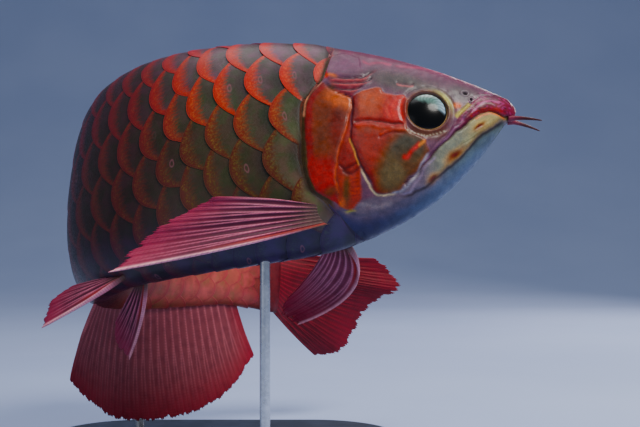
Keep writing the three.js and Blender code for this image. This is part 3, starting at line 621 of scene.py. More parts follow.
def strip_colour(s, up):
    """The bone between the cheek and the gill cover."""
    paint = Paint(s, up, srgb(176, 66, 12))
    paint.dab((150, 48, 14), 0.8, (97, -10), (4, 7))
    paint.lay((196, 78, 16), 1 - smooth(up, -21, -18))
    paint.dab((84, 80, 40), 0.85, (96.6, -28), (2.2, 9))
    for k in range(6):
        paint.line((120, 32, 12), 0.5, [(94.5, -20 - 2.2 * k), (88.8, -19 - 2.2 * k)], 0.4, 0.2)
    for line in CROSS_FOLDS:
        paint.line((104, 10, 12), 0.95, line, 0.75)
    paint.dab((236, 128, 20), 0.9, (99.3, -36), (2.2, 3.2), 20)
    return paint.shade


def cover_colour(s, up):
    paint = Paint(s, up, srgb(158, 76, 10))
    paint.dab((126, 66, 12), 0.8, (109, 4), (6, 22))
    paint.dab((136, 44, 8), 0.8, (101.5, 8), (5, 16))
    paint.dab((255, 140, 8), 1, (99.5, 25.5), (9, 6), 22)
    paint.lay((160, 18, 10), 1 - smooth(line_distance(s, up, COVER_REAR)[0], 1.5, 5.2))
    paint.lay((206, 16, 12), 0.9 * (1 - smooth(up, -19, -5)) * smooth(s, 100.5, 106))
    paint.dab((88, 34, 10), 0.6, (100.4, 18), (3.2, 5.5), 10)
    paint.dab((120, 84, 40), 0.8, (106, -29), (4, 3), -30)
    return paint.shade


def dapple(s, up, along_s, along_up, shift=0):
    """Uneven waves from -1 to 1. Each triple is a wave's pitch, how far it wanders, and that wander's pitch."""
    lengthwise = np.sin(along_s[0] * s + along_s[1] * np.sin(along_s[2] * up) + shift)
    return lengthwise * np.sin(along_up[0] * up + along_up[1] * np.sin(along_up[2] * s))


def paint_jaws(head):
    """Paints the jaws over the head: the upper jaw's plate, the lower jaw's strip, and the mouth."""
    s, up = head.s, head.up
    plate = Paint(s, up, srgb(116, 16, 54))
    plate.lay((130, 94, 122), smooth(s, 26, 46))
    plate.dab((102, 44, 82), 0.7, (16, 32.5), (11, 2.8))
    plate.line((186, 20, 36), 0.85, [(4, 25), (12, 24.4), (20, 22.6), (27, 17.5)], 1.1)
    # two pale pink painted highlights along the upper jaw's plate
    plate.line((218, 120, 176), 0.8, [(6, 29.6), (14, 29.4), (20.5, 26.2), (26, 20)], 0.7)
    plate.line((178, 130, 168), 0.8, [(28, 19.6), (36, 9.6), (46, -2), (54, -12.4)], 0.7)
    plate.line((76, 26, 66), 0.7, JAW_GROOVE, 0.8)
    head.blend(plate.shade, smooth(inside(s, up, *JAW_PLATE), -0.5, 0.6))
    head.lay((132, 24, 66), (1 - smooth(s, 4, 12)) * smooth(up, 22, 24))
    lip = smooth(inside(s, up, *LIP), -2, 2)
    # pink dapple on the lip: painted highlights on its lumps
    head.lay((190, 100, 152), 0.45 * smooth(dapple(s, up, (1.3, 2.2, 0.9), (1.5, 1.7, 0.8)), 0.25, 0.6) * lip)
    head.lay((70, 12, 44), 0.7 * smooth(dapple(s, up, (1.1, 2, 1.3), (1.9, 1.4, 1.1), 2), 0.2, 0.6) * lip)
    strip = Paint(s, up, srgb(196, 186, 142))
    strip.lay((150, 156, 142), smooth(s, 20, 34))
    strip.lay((126, 114, 132), smooth(s, 42, 56))
    low_edge = 1 - smooth(line_distance(s, up, JAW_STRIP_BOTTOM)[0], 0.8, 3.2)
    strip.lay((150, 126, 92), 0.8 * low_edge * (1 - smooth(s, 40, 56)))
    for k in range(5):
        vein = [(12 + 2 * k, 19.4 - 2.6 * k), (22 + 3 * k, 11.8 - 3.2 * k), (34 + 3 * k, 0.6 - 3.4 * k)]
        strip.line((96, 104, 84) if k % 2 else (206, 206, 170), 0.5, vein, 0.45, 0.3)
    head.blend(strip.shade, smooth(inside(s, up, *JAW_STRIP), -0.5, 0.6))
    for centre, radii in JAW_SPOTS:
        head.dab((222, 170, 110), 0.6, centre, (radii[0] + 1.4, radii[1] + 1), JAW_SPOT_TURN)
        head.dab((120, 42, 4), 1, centre, radii, JAW_SPOT_TURN)
    head.line((40, 34, 46), 0.85, [(x + 0.4, y - 1.1) for x, y in JAW_STRIP_BOTTOM], 0.8)
    head.line((250, 150, 112), 1, [(6, 21.6), (10, 21.5), (15, 21.9), (21, 19.4), (24, 16.6)], 0.6)
    head.line((66, 16, 40), 0.9, MOUTH[3:], 0.5, 0.03)
    head.line((176, 160, 186), 0.8, [(46, -6.8), (52, -13), (57, -20.6), (61, -26.4), (66, -29)], 0.6)


def head_colour(s, up, angle):
    """Paints the head: crown, throat, cheeks, gill covers and jaws, with the lines between them."""
    head = Paint(s, up, crown_colour(s, up, angle))
    throat = inside(s, up, CHEEK_BOTTOM[::-1], [(82, -31), (90, -35), (100, -38), (112, -38)],
                    [(112, -95), (-10, -95), (-10, 24), (6, 20)], JAW_STRIP_BOTTOM[1:])
    head.blend(throat_colour(s, up), smooth(throat, -1.2, 1.2))
    head.dab((112, 74, 46), 0.85, (51, 7.5), (13, 5.2))
    head.blend(0.72 * cheek_colour(s, up), smooth(inside(s, up, *CHEEK), -0.8, 0.8))
    strip = inside(s, up, COVER_FRONT[5:], [(94, -39), (88.5, -32.5)],
                   [(88.5, -16.8), (90.8, -10.4), (94.4, 1.5), (94.3, 20)])
    head.blend(0.76 * strip_colour(s, up), smooth(strip, -0.8, 0.8))
    head.lay((70, 54, 30), smooth(s, 102, 106) * smooth(up, -44, -37) * (1 - smooth(up, 32, 38)))
    cover = inside(s, up, COVER_FRONT[::-1], COVER_REAR)
    head.blend(0.72 * cover_colour(s, up), smooth(cover, -0.6, 0.6))
    paint_jaws(head)

    # lines, patches and rims, some of them painted highlights
    head.line((80, 14, 26), 0.9, CHEEK_REAR[:6], 0.6)
    # the cheek's gold edges with a painted highlight on them, and a bluish-white painted highlight along the
    # bottom
    head.line((240, 176, 118), 0.9, [(94.9, 2), (93, -4), (91.6, -9.4), (89.2, -14.4)], 0.45)
    gold_and_highlight = [(89.2, -14.4), (85.2, -23.2), (81.4, -28.4), (78.5, -30.4), (72.5, -29.6), (67, -27.8)]
    head.line((250, 232, 196), 1, gold_and_highlight, 0.5, 0.2)
    head.line((192, 190, 204), 0.85, CHEEK_BOTTOM[1:], 0.6)
    head.line((218, 104, 60), 0.8, COVER_FRONT[4:], 0.5)
    # a painted highlight along the gill cover's upper rear edge
    head.line((236, 168, 140), 0.9, [(111, 38), (117.4, 31.4), (120.6, 23.4), (121, 14)], 0.5)
    head.dab((206, 200, 120), 0.8, (94.5, -39.4), (2.6, 0.8), -10)
    head.line((204, 26, 20), 1, RED_DASH, 1.25, 0.12)
    head.line((240, 156, 70), 0.95, [(53, 1), (55.6, -1.2)], 0.9, 0)
    head.dab((236, 120, 36), 1, (34, 25), (2.4, 2), -30)
    head.line((214, 202, 120), 0.95, [(26, 27.2), (30.5, 22.2), (35.5, 17.2)], 1.3)
    for share in np.linspace(0, 1, 12):
        dot = (62 - 20 * share, 7.6 - 12 * share + 12.6 * share**2)
        head.dab((216, 208, 186), 0.9, dot, (0.62, 0.5))
    return head.shade


def deepened(colour, saturation=1.42, value=0.56):
    """The same colour, stronger and darker, as wet skin is."""
    grey = (colour @ np.array([0.25, 0.6, 0.15]))[..., None]
    return np.clip(grey + (colour - grey) * saturation, 0.0015, 1) * value


def eye_frame(side):
    """The eye's centre and its axes: ahead, out of the skin, and up."""
    step = 6

    def skin_point(s, up):
        return place(s, side * out_at(s, up), up)

    centre = skin_point(EYE["s"], EYE["up"])
    ahead = skin_point(EYE["s"] - step, EYE["up"]) - centre
    above = skin_point(EYE["s"], EYE["up"] + step) - centre
    normal = np.cross(ahead, above)
    normal /= np.linalg.norm(normal)
    if normal @ along(EYE["s"], 0, side, 0) < 0:
        normal = -normal
    above -= (above @ normal) * normal
    above /= np.linalg.norm(above)
    forward = np.cross(above, normal) * (1 if side > 0 else -1)
    return centre, forward * np.sign(forward @ ahead), normal, above


# The skin

def head_edge(girth):
    """s of the head's rear edge, along the gill covers and over the nape."""
    return gill_edge_at(angle_at(np.full(girth.shape, EDGE_SECTION), np.abs(girth)))


def skin_grid():
    """s and girth of the skin's points. A row of the grid lies along the head's rear edge."""
    half = SKIN_COLUMNS // 2
    girth = np.concatenate([np.linspace(0, 1, half + 1), np.linspace(-1, 0, half + 1)[1:-1]])
    t = np.concatenate([np.linspace(0, 1, SKIN_HEAD_ROWS + 1), [1.0]])
    head = t[:, None] * head_edge(girth)
    head[-1] += GILL_STEP
    tail = np.linspace(0, 1, SKIN_TRUNK_ROWS + 1)[1:, None] * (SKIN_END - head[-1]) + head[-1]
    s = np.vstack([head, tail])
    return s, np.broadcast_to(girth, s.shape), len(head)


# Height in millimetres, outline, and the distances into it between which the skin rises
RELIEF_AREAS = [
    (0.7, JAW_PLATE, -0.4, 1.2), (0.45, JAW_STRIP, -0.4, 1.4), (0.7, CHEEK, -0.5, 0.6),
    (0.5, (NAPE_SCALE, [(90, 50), (88, 42.5), (94, 41), (102, 41)]), -0.3, 0.8),
]
# Height in millimetres, line, half width, and the share of the line over which its ends fade
RELIEF_LINES = [
    (0.5, [(5, 25), (15, 27), (22, 24), (30, 15)], 2.2), (-0.4, JAW_GROOVE, 0.8), (-1.5, MOUTH, 0.75, 0.02),
    (-0.45, JAW_PLATE_TOP, 0.7), (-0.45, JAW_STRIP_BOTTOM, 0.8), (-0.8, CREASE_UPPER, 0.8),
    (0.35, CREASE_LOWER, 0.8), (0.3, CREASE_LOWEST, 0.7), (-0.35, CREASE_FAINT, 0.7),
    (-0.7, COVER_FRONT, 0.7, 0.04), *[(-0.5, line, 0.8) for line in CROSS_FOLDS], (-0.25, COVER_REAR, 0.7),
    (-0.5, THROAT_LINE, 1.2), *[(-0.6, line, 0.7, 0.2) for line in NAPE_FOLDS],
    *[(0.35, line, 0.7, 0.2) for line in NAPE_LIT], (-0.4, BROW_GROOVE, 0.6),
    *[(-0.35, [(66 + 7 * k, -44 - 1.6 * k), (72 + 7 * k, -50 - 1.5 * k), (75 + 7 * k, -60)], 0.8)
      for k in range(6)],
]


def head_relief(s, up, angle, eye_distance):
    """How far the head's skin stands off its smooth form, in millimetres."""
    at_edge = smooth(s - gill_edge_at(angle), -2.2, 0)
    flare = GILL_FLARE * smooth(s, 78, 104) * (1 - smooth(np.abs(angle + 4), 24, 44))
    h = flare * (1 - 0.72 * at_edge)
    s, up = wandering(s, up)
    for height, outline, low, high in RELIEF_AREAS:
        h = h + height * smooth(inside(s, up, *outline), low, high)
    for height, line, *shape in RELIEF_LINES:
        h = h + height * stroke(s, up, line, *shape)
    for centre, radii in JAW_SPOTS:
        h = h - 0.5 * spot(s, up, centre, radii, JAW_SPOT_TURN)
    h = h + 0.06 * dapple(s, up, (0.7, 1.7, 0.4), (0.6, 1.3, 0.3))
    for nostril_s, nostril_up, radius in NOSTRILS:
        away = np.hypot(s - nostril_s, up - nostril_up)
        h = h + 0.35 * bell(away, 1.7 * radius, 0.5 * radius)
        h = h - 1.3 * (1 - smooth(away, 0.5 * radius, 1.3 * radius))
    socket = -3.2 * (1 - smooth(eye_distance, 10.6, 12.2))
    return h + socket + 0.6 * bell(eye_distance, 12.9, 0.8) - 0.35 * bell(eye_distance, 15.6, 1)


def make_skin(material):
    s, girth, head_rows = skin_grid()
    out, up, angle = on_skin(s, girth)
    smooth_points = place(s, out, up)
    eye_distance, eye_tint = np.full(s.shape, FAR), np.zeros(s.shape)
    for side in (1, -1):
        centre, forward, normal, above = eye_frame(side)
        away = smooth_points - centre
        distance = np.linalg.norm(away - (away @ normal)[..., None] * normal, axis=-1) / MM
        distance = np.where(girth * side >= 0, distance, FAR)
        turn = np.degrees(np.arctan2(away @ above, away @ forward))
        eye_tint = np.where(distance < eye_distance, bell(turn, 38, 34), eye_tint)
        eye_distance = np.minimum(eye_distance, distance)
    rows = slice(0, head_rows - 1)
    h = np.zeros(s.shape)
    h[rows] = head_relief(s[rows], up[rows], angle[rows], eye_distance[rows])
    h[0] = -SNOUT_INSET
    points = place(s, *on_skin(s, girth, h)[:2])

    margin, middle = flank_colours(s, girth)
    paint = Paint(s, up, 0.25 * margin + 0.4 * middle)
    edge = gill_edge_at(angle[rows])
    nape = smooth(s[rows], edge - 5, edge - 1) * smooth(angle[rows], 30, 60)
    head = deepened(head_colour(*wandering(s[rows], up[rows]), angle[rows]))
    paint.shade[rows] = mixed(head, PLUM, nape)
    paint.lay((104, 64, 40), 0.85 * bell(eye_distance, 12.5, 0.5))
    paint.lay((178, 180, 84), bell(eye_distance, 14.2, 1.6) * eye_tint)
    paint.lay((92, 40, 30), 0.6 * bell(eye_distance, 13.7, 0.9) * (1 - eye_tint))
    # near-black in the eye's socket: painted shade in the gap round the eyeball
    paint.lay((12, 10, 10), 1 - smooth(eye_distance, 11.2, 12.1))
    for nostril_s, nostril_up, radius in NOSTRILS:
        away = np.hypot(s - nostril_s, up - nostril_up)
        paint.lay((128, 116, 128), 0.5 * bell(away, 1.8 * radius, 0.45 * radius))
        # near-black in the nostril pits: painted shade
        paint.lay((14, 8, 16), 1 - smooth(away, 0.8 * radius, 1.35 * radius))

    # the grid's faces, and a fan of triangles at each end
    columns = s.shape[1]
    nose = place(-0.9, 0, (top_at(0) + bottom_at(0)) / 2)
    stern = place(SKIN_END, 0, (top_at(STALK_END) + bottom_at(STALK_END)) / 2)
    j, last = np.arange(columns), (len(s) - 1) * columns
    k = (j + 1) % columns
    caps = [np.stack([j, k, np.full(columns, s.size)], -1),
            np.stack([last + k, last + j, np.full(columns, s.size + 1)], -1)]
    bake = np.stack([s / STALK_END, 0.5 + 0.49 * girth], -1).reshape(-1, 2)
    colours = paint.shade.reshape(-1, 3)
    piece = new_piece(
        "skin", np.vstack([points.reshape(-1, 3), nose, stern]),
        [*grid_faces(len(s), columns, closed=True)[:, ::-1], *caps[0], *caps[1]], material,
        colours={"paint": np.vstack([colours, colours[0], colours[-1]])},
        bake=np.vstack([bake, [0, 0.5], [1, 0.5]]),
    )
    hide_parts("head", "lower_jaw", "gill_cover_right", "gill_cover_left",
                "trunk_front", "trunk_middle", "trunk_rear", "tail_stalk")


def skin_finish():
    finish = Finish("wet_skin", 0.45, coat=0.12, coat_roughness=0.16, specular=0.22)
    tone = finish.mottled(finish.attribute("paint", "Color"), 1100, 4, 0.4, 0.68, 0.55, (1.6, 1.4, 1.25))
    tone = finish.mottled(tone, 170, 4, 0.35, 0.68, 0.6, (0.54, 0.5, 0.56))
    finish.colour(finish.mottled(tone, 420, 3, 0.38, 0.66, 0.35, (1.35, 1.2, 1.0)))
    finish.roughness(finish.ramp(finish.noise(300, 2), 0.3, 0.7, 0.32, 0.55))
    finish.bump(finish.noise(1500, 3), 0.16, 0.0003)
    finish.bump(finish.noise(300, 2), 0.1, 0.0006)
    return finish.material


# Scales

def scale_list():
    """The row of each scale, with its tip's s before the slant, and its chain's spacing."""
    found = []
    s, chain = FIRST_CHAIN, 0
    while s < LAST_CHAIN:
        spacing = float(chain_spacing_at(s))
        found += [(row, s, spacing) for row in range(chain % 2, 2 * SCALE_ROWS, 2)]
        s += spacing
        chain += 1
    return found


def row_girth(s, row):
    """The girth of a row of scales, from -1 to 1."""
    return ((row + drift_at(s)) / SCALE_ROWS + 1) % 2 - 1


def make_scales(material):
    across, length = SCALE_GRID
    y = np.tile(np.linspace(-0.97, 0.97, across), (length, 1))
    t = np.tile(np.linspace(0, 1, length)[:, None] ** 0.8, across)
    random = np.random.default_rng(SEED)
    made = {1: [], -1: []}
    for row, tip, spacing in scale_list():
        reach = SCALE_DEPTH * spacing
        wobble = random.normal(0, 1, 5)
        rows = row + y * (1 + 0.02 * wobble[0])
        round_rows = rows % (2 * SCALE_ROWS)
        slant = slant_at(np.minimum(round_rows, 2 * SCALE_ROWS - round_rows)) * slant_share_at(tip)
        hind = tip + slant - reach * y**2 + 0.3 * wobble[1]
        edge = head_edge(row_girth(hind, rows))
        from_edge = (1 - t) * np.clip(hind - edge + 0.6, 0, reach * (1 - y**2))
        s = np.minimum(np.maximum(hind, edge - 0.6) - from_edge, STALK_END + 4)
        girth, beyond = row_girth(s, rows), s - edge
        if beyond.max() < BURIED:
            continue

        # the plate rises to its free edge, and dips under the gill cover's edge
        size = spacing / CHAIN_SPACING[0][1]
        lift = SCALE_LIFT * size**0.6 * (1 - 0.92 * (y**2 + from_edge / reach)) + 0.12
        lift = lift + 0.12 * size * (1 - y**2) * np.sin(np.pi * t) + 0.05 * wobble[2] * t
        lift = lift * (0.12 + 0.88 * smooth(beyond, 0, 11)) - COVER_DIP * smooth(0.5 - beyond, 0, 1)

        angle = angle_at(s, np.abs(girth))
        # scales by the gill cover's edge take the colours beside them: dark olive, partly the membrane's colour
        # and partly painted shade under the cover's edge; plum on the nape and indigo low down
        near = 1 - smooth(beyond, 1, 4 + 6 * smooth(angle, 30, 60))
        beside = mixed(srgb(46, 34, 18), PLUM, smooth(angle, 30, 60))
        beside = mixed(beside, INDIGO, 1 - smooth(angle, -46, -32))
        centre = float(row_girth(np.array(tip), row))
        margin, middle = flank_colours(
            0.5 * s + 0.5 * (tip - 0.4 * reach), centre + 0.4 * ((girth - centre + 1) % 2 - 1),
        )
        # the scale's own patch of the baked map, with its underside in a strip beside it
        u = (tip - reach / 2 + MAP_MARGIN + 1.8 * spacing * (t - 0.5)) / (STALK_END + MAP_MARGIN)
        v = [(row + 0.5 + 0.9 * part) / (2 * SCALE_ROWS) for part in (0.42 * y + 0.05, -0.43 - 0.05 * y)]
        made[1 if row <= SCALE_ROWS else -1].append({
            "points": np.stack([place(s, *on_skin(s, girth, lift - sunk)[:2]) for sunk in (0, SCALE_THICK)]),
            "bake": np.stack([np.stack([u, part], -1) for part in v]),
            "rim": from_edge, "across": y, "draw": np.full(s.shape, random.random()), "near": near,
            "sparkle": 1 - smooth(s, 190, 310),
            "margin": mixed(margin, beside, near), "middle": mixed(middle, beside, near),
        })
    plate = plate_faces(length, across)
    for side, name in ((1, "scales_right"), (-1, "scales_left")):

        def gathered(key, *width):
            """One row for each point of the outer and inner face, scale after scale."""
            rows = [np.broadcast_to(scale[key], (2, length, across, *width)) for scale in made[side]]
            return np.stack(rows).reshape(-1, *width)

        starts = 2 * length * across * np.arange(len(made[side]))
        faces = (plate + starts[:, None, None]).reshape(-1, 4)
        piece = new_piece(
            name, gathered("points", 3), faces[:, ::-1] if side > 0 else faces, material,
            values={key: gathered(key) for key in ("rim", "across", "draw", "near", "sparkle")},
            colours={key: gathered(key, 3) for key in ("margin", "middle")},
            bake=gathered("bake", 2), crease=50,
        )


def scale_finish():
    finish = Finish("scale_plates", 0.36, coat=0.06, coat_roughness=0.2, specular=0.3)
    math_node, mix, ramp, plus, times = finish.math, finish.mix, finish.ramp, finish.plus, finish.times
    rim, across, draw = [finish.attribute(name) for name in ("rim", "across", "draw")]
    margin, middle = [finish.attribute(name, "Color") for name in ("margin", "middle")]
    fine, soft = finish.noise(900, 4), finish.noise(240, 4)

    # the crescent: narrower to the sides, with a ragged inner edge that breaks into streaks
    width = ramp(math_node("ABSOLUTE", across), 0.0, 0.75, 1.0, 0.4)
    ragged = times(math_node("SUBTRACT", plus(soft, fine), 1.0), 3.6)
    inward = math_node("DIVIDE", plus(rim, ragged), width)
    sparkle = times(ramp(fine, 0.48, 0.64), finish.attribute("sparkle"))
    glow = mix(sparkle, margin, (1.35, 2.9, 1.0), "MULTIPLY")
    glow = mix(ramp(soft, 0.35, 0.6, 0.55, 0.0), glow, (0.6, 0.42, 0.6), "MULTIPLY")
    glow = mix(ramp(inward, 0.6, 3.6), mix(0.7, margin, (0.95, 0.35, 0.9), "MULTIPLY"), glow)
    clouds = finish.mottled(middle, 90, 3, 0.38, 0.62, 1.0, (1.5, 1.15, 1.6))
    clouds = finish.mottled(clouds, 130, 3, 0.42, 0.62, 1.0, (0.8, 1.25, 0.85))
    streak = math_node("SINE", plus(times(across, 60.0), times(soft, 18.0)))
    base = mix(ramp(plus(inward, times(streak, 0.8)), 2.6, 9.6), glow, clouds)

    # a pore near the middle of some scales, a darker band along the rim with a fine painted highlight on its
    # very edge, and painted shade under the scale before
    pore = plus(math_node("POWER", math_node("SUBTRACT", rim, 8.6), 2.0),
                math_node("POWER", times(across, 11.0), 2.0))
    ring = times(ramp(pore, 0.25, 0.7), ramp(pore, 1.1, 1.9, 1.0, 0.0))
    base = mix(times(ring, ramp(draw, 0.76, 0.8, 0.0, 0.3)), base, (0.4, 0.12, 0.16))
    base = mix(ramp(rim, 0.3, 1.0, 0.75, 0.0), base, mix(1.0, (0.5, 0.3, 0.5), margin, "MULTIPLY"))
    # painted highlight along the free edge
    base = mix(ramp(rim, 0.1, 0.45, 0.8, 0.0), base, mix(1.0, (1.5, 1.3, 1.8), margin, "MULTIPLY"))
    # painted shade where the scale before covers this one
    base = mix(ramp(rim, 10.0, 18.0, 0.0, 0.6), base, (0.012, 0.01, 0.012))
    finish.colour(mix(times(draw, 0.3), base, (0.7, 0.66, 0.68), "MULTIPLY"))
    rough = ramp(fine, 0.3, 0.7, 0.28, 0.5)
    finish.roughness(math_node("MAXIMUM", rough, times(finish.attribute("near"), 0.9)))
    finish.bump(finish.noise(1300, 2), 0.2, 0.0003)
    finish.bump(math_node("SINE", times(rim, 9.0)), 0.12, 0.00012)
    return finish.material


# Fins

PECTORAL = {"roots": [(104, -44), (108, -36)], "rays": 8, "sink": 4, "root": 3.2, "tip": 0.8, "notch": 0.05}
PECTORAL_RIGHT = {
    "side": 1, "tips": [(116, 50, -45), (97, 37, -24), (60, 32, -5)],
    "bows": [(0, 4, -3), (0, 4, -1), (0, 3, 1)],
}
PECTORAL_LEFT = {
    "side": -1, "tips": [(39, -95, -29), (44, -75, -30), (28, -42, -30)],
    "bows": [(-26, -2, -1), (-14, -2, -1), (-4, 0, 0)],
}
PELVIC = {"roots": [(229, -62), (236, -62.5)], "rays": 6, "sink": 3, "root": 2.4, "tip": 0.8, "notch": 0.05}
PELVIC_RIGHT = {
    "side": 1, "tips": [(50, 22, -33), (52, 16, -16), (38, 8, -1)], "bows": [(-3, 2, -2), (0, 2, 0), (0, 1, 0)],
}
PELVIC_LEFT = {
    "side": -1, "tips": [(27, -17, -45), (34, -14, -34), (29, -8, -20)],
    "bows": [(-4, 0, 0), (-2, 0, 0), (0, 0, 0)],
}
ANAL = {
    "sign": -1, "from": 297, "to": 438, "rays": 26, "sink": 4, "root": 3, "tip": 0.8, "notch": 0.035,
    "drop": [(0, 50), (0.2, 67), (0.4, 76), (0.6, 75), (0.8, 64), (1, 34)],
    "back": [(0, 15), (0.2, 10), (0.4, 16), (0.6, 23), (0.8, 28), (1, 24)], "lean": [(0, 14), (0.2, 8), (1, 8)],
}
DORSAL = {
    "sign": 1, "from": 342, "to": 432, "rays": 19, "sink": 4, "root": 2.8, "tip": 0.8, "notch": 0.04,
    "drop": [(0, 26), (0.15, 36), (0.5, 43), (0.8, 38), (1, 26)],
    "back": [(0, 14), (0.5, 30), (1, 34)], "lean": [(0, 4), (1, 6)],
}
TAIL = {
    "rays": 17, "sink": 2, "across": 0.99, "root": 2.6, "tip": 0.8, "notch": 0.05,
    "back": [(-1, 58), (-0.6, 76), (-0.3, 84), (0, 88), (0.3, 98), (0.55, 106), (0.8, 100), (1, 80)],
    "lean": [(-1, 32), (-0.6, 24), (-0.3, 14), (0, 2), (0.3, -10), (0.55, -18), (1, -22)],
    "rise": [(-1, -22), (-0.6, -24), (-0.3, -16), (0, -8), (0.3, -3), (0.55, -4), (0.8, -1), (1, 4)],
}
FIN_BOW = (0, 2, 0)
FIN_STEPS_PER_RAY, FIN_STEPS_ALONG = 14, 72


def paired_fan(fin, u):
    """Roots, reaches and bows of a paired fin's rays, for u from the leading ray to the last."""
    s = fin["roots"][0][0] + (fin["roots"][1][0] - fin["roots"][0][0]) * u
    up = fin["roots"][0][1] + (fin["roots"][1][1] - fin["roots"][0][1]) * u
    out = fin["side"] * np.maximum(out_at(s, up) - fin["sink"], 1)

    def three(points):
        return [through(list(zip((0, 0.5, 1), part)))(u) for part in zip(*points)]

    return place(s, out, up), along(s, *three(fin["tips"])), along(s, *three(fin["bows"]))


def midline_fan(fin, u):
    s = fin["from"] + (fin["to"] - fin["from"]) * u
    sign = fin["sign"]
    edge = bottom_at(s) if sign < 0 else top_at(s)
    drop, back, lean = [through(fin[key])(u) for key in ("drop", "back", "lean")]
    reach = along(s, back, lean, sign * (drop + fin["sink"]))
    return place(s, 0, edge - sign * fin["sink"]), reach, along(s, *FIN_BOW)


def tail_fan(fin, u):
    v = 2 * u - 1
    middle = (top_at(STALK_END) + bottom_at(STALK_END)) / 2
    half = (top_at(STALK_END) - bottom_at(STALK_END)) / 2
    s = STALK_END - fin["sink"] + 0 * u
    reach = along(s, *[through(fin[key])(v) for key in ("back", "lean", "rise")])
    return place(s, 0, middle + fin["across"] * half * v), reach, along(s, *FIN_BOW)


def ray_pattern(ray, t, leading):
    """1 along the middle of each ray and 0 between rays. ray counts rays across the fin; rays branch twice."""
    nearest = np.round(ray)
    offset = ray - nearest
    first, second = 0.2 * smooth(t, 0.25, 0.7), 0.09 * smooth(t, 0.6, 0.95)
    width = 0.15 - 0.08 * smooth(t, 0.1, 0.9)
    branches = [bell(offset, a * first + b * second, width) for a in (-1, 1) for b in (-1, 1)]
    return np.where((nearest == 0) & leading, bell(offset, 0, 0.3 - 0.14 * t), np.max(branches, axis=0))


def make_fin(name, fin, fan, material, tints, waves, leading=False, stem=0):
    """A finely ribbed fin in place of a node of the same name. stem is half the body's width at its root."""
    gaps = fin["rays"] - 1
    columns, rows = gaps * FIN_STEPS_PER_RAY + 1, FIN_STEPS_ALONG + 1
    u, t = np.linspace(0, 1, columns), np.linspace(0, 1, rows)[None, :]
    ray = (u * gaps)[:, None]
    random = np.random.default_rng(SEED + len(name) * 31 + gaps)
    tears = np.interp(u, np.linspace(0, 1, 3 * gaps), random.uniform(0, 1, 3 * gaps))[:, None]
    at_tip = ray_pattern(ray, np.ones((1, 1)), leading)
    reached = t * (1 - fin["notch"] * (0.55 * (1 - at_tip) + 0.75 * tears))
    root, reach, bow = fan(fin, u)
    points = root[:, None] + reach[:, None] * reached[..., None]
    points = points + bow[:, None] * (4 * reached * (1 - reached))[..., None]
    normal = np.cross(np.gradient(points, axis=0), np.gradient(points, axis=1))
    normal /= np.maximum(np.linalg.norm(normal, axis=-1, keepdims=True), 1e-12)
    sway = waves[0] * np.sin(2 * np.pi * (waves[1] * u[:, None] + 0.35 * t)) * reached**1.5
    points = points + normal * sway[..., None] * MM

    # half the thickness: ribs that rise out of a thicker root, and a thin edge
    pattern = ray_pattern(ray, reached, leading)
    risen = smooth(reached, 0.0, 0.28)
    half = (fin["root"] + (fin["tip"] - fin["root"]) * reached**0.7) / 2
    half = half * (0.42 + 0.85 * (pattern * risen + 0.5 * (1 - risen)))
    if leading:
        half = half * (1 + 0.9 * bell(ray, 0, 0.35) * (1 - 0.7 * t))
    stalk = stem * np.sqrt(np.maximum(1 - (2 * u - 1) ** 2, 0))[:, None]
    half = np.maximum(half, stalk * np.maximum(1 - 3.2 * reached, 0))
    half = half * (0.35 + 0.65 * np.minimum(1, 14 * (1 - t) + 0.12))
    half[[0, -1]] *= 0.6
    faces_apart = normal * half[..., None] * MM

    base, pale, edge = tints
    colour = mixed(base, pale, pattern * (0.85 - 0.5 * smooth(reached, 0.3, 1.0)))
    colour = mixed(colour, edge, smooth(reached, 0.55, 1.0) * 0.85)
    if leading:
        colour = mixed(colour, srgb(92, 64, 58), 1 - smooth(reached, 0.06, 0.32))
        # a painted highlight along the leading ray
        colour = mixed(colour, srgb(255, 176, 190), 0.9 * bell(ray, 0.1, 0.2) * smooth(reached, 0.1, 0.5))
        colour = mixed(colour, srgb(176, 30, 22), 0.8 * bell(ray, 0.6, 0.25) * (1 - smooth(reached, 0.3, 0.7)))
    if name == "anal_fin":
        colour = mixed(colour, edge, 0.7 * smooth(u, 0.9, 1.0)[:, None] * smooth(reached, 0.0, 0.2))
    piece = new_piece(
        name + "_rays", np.stack([points + faces_apart, points - faces_apart]).reshape(-1, 3),
        plate_faces(columns, rows), material,
        values={"along": np.tile(reached.ravel(), 2), "ridge": np.tile(pattern.ravel(), 2)},
        colours={"paint": np.tile(colour.reshape(-1, 3), (2, 1))},
    )
    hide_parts(name)


def fin_finish():
    finish = Finish("fin_membrane", 0.55, coat=0.04, coat_roughness=0.25, specular=0.2)
    joints = finish.math("SINE", finish.times(finish.attribute("along"), 260.0))
    dark = finish.times(finish.ramp(joints, 0.2, 0.9), finish.times(finish.attribute("ridge"), 0.4))
    marked = finish.mix(dark, finish.attribute("paint", "Color"), (0.55, 0.4, 0.45), "MULTIPLY")
    finish.colour(finish.mottled(marked, 160, 4, 0.4, 0.7, 0.5, (0.6, 0.5, 0.62)))
    finish.bump(joints, 0.12, 0.0002)
    finish.bump(finish.noise(900, 3), 0.15, 0.0003)
    finish.shader.inputs["Subsurface Weight"].default_value = 0.25
    finish.shader.inputs["Subsurface Radius"].default_value = (0.004, 0.0012, 0.0012)
    return finish.material


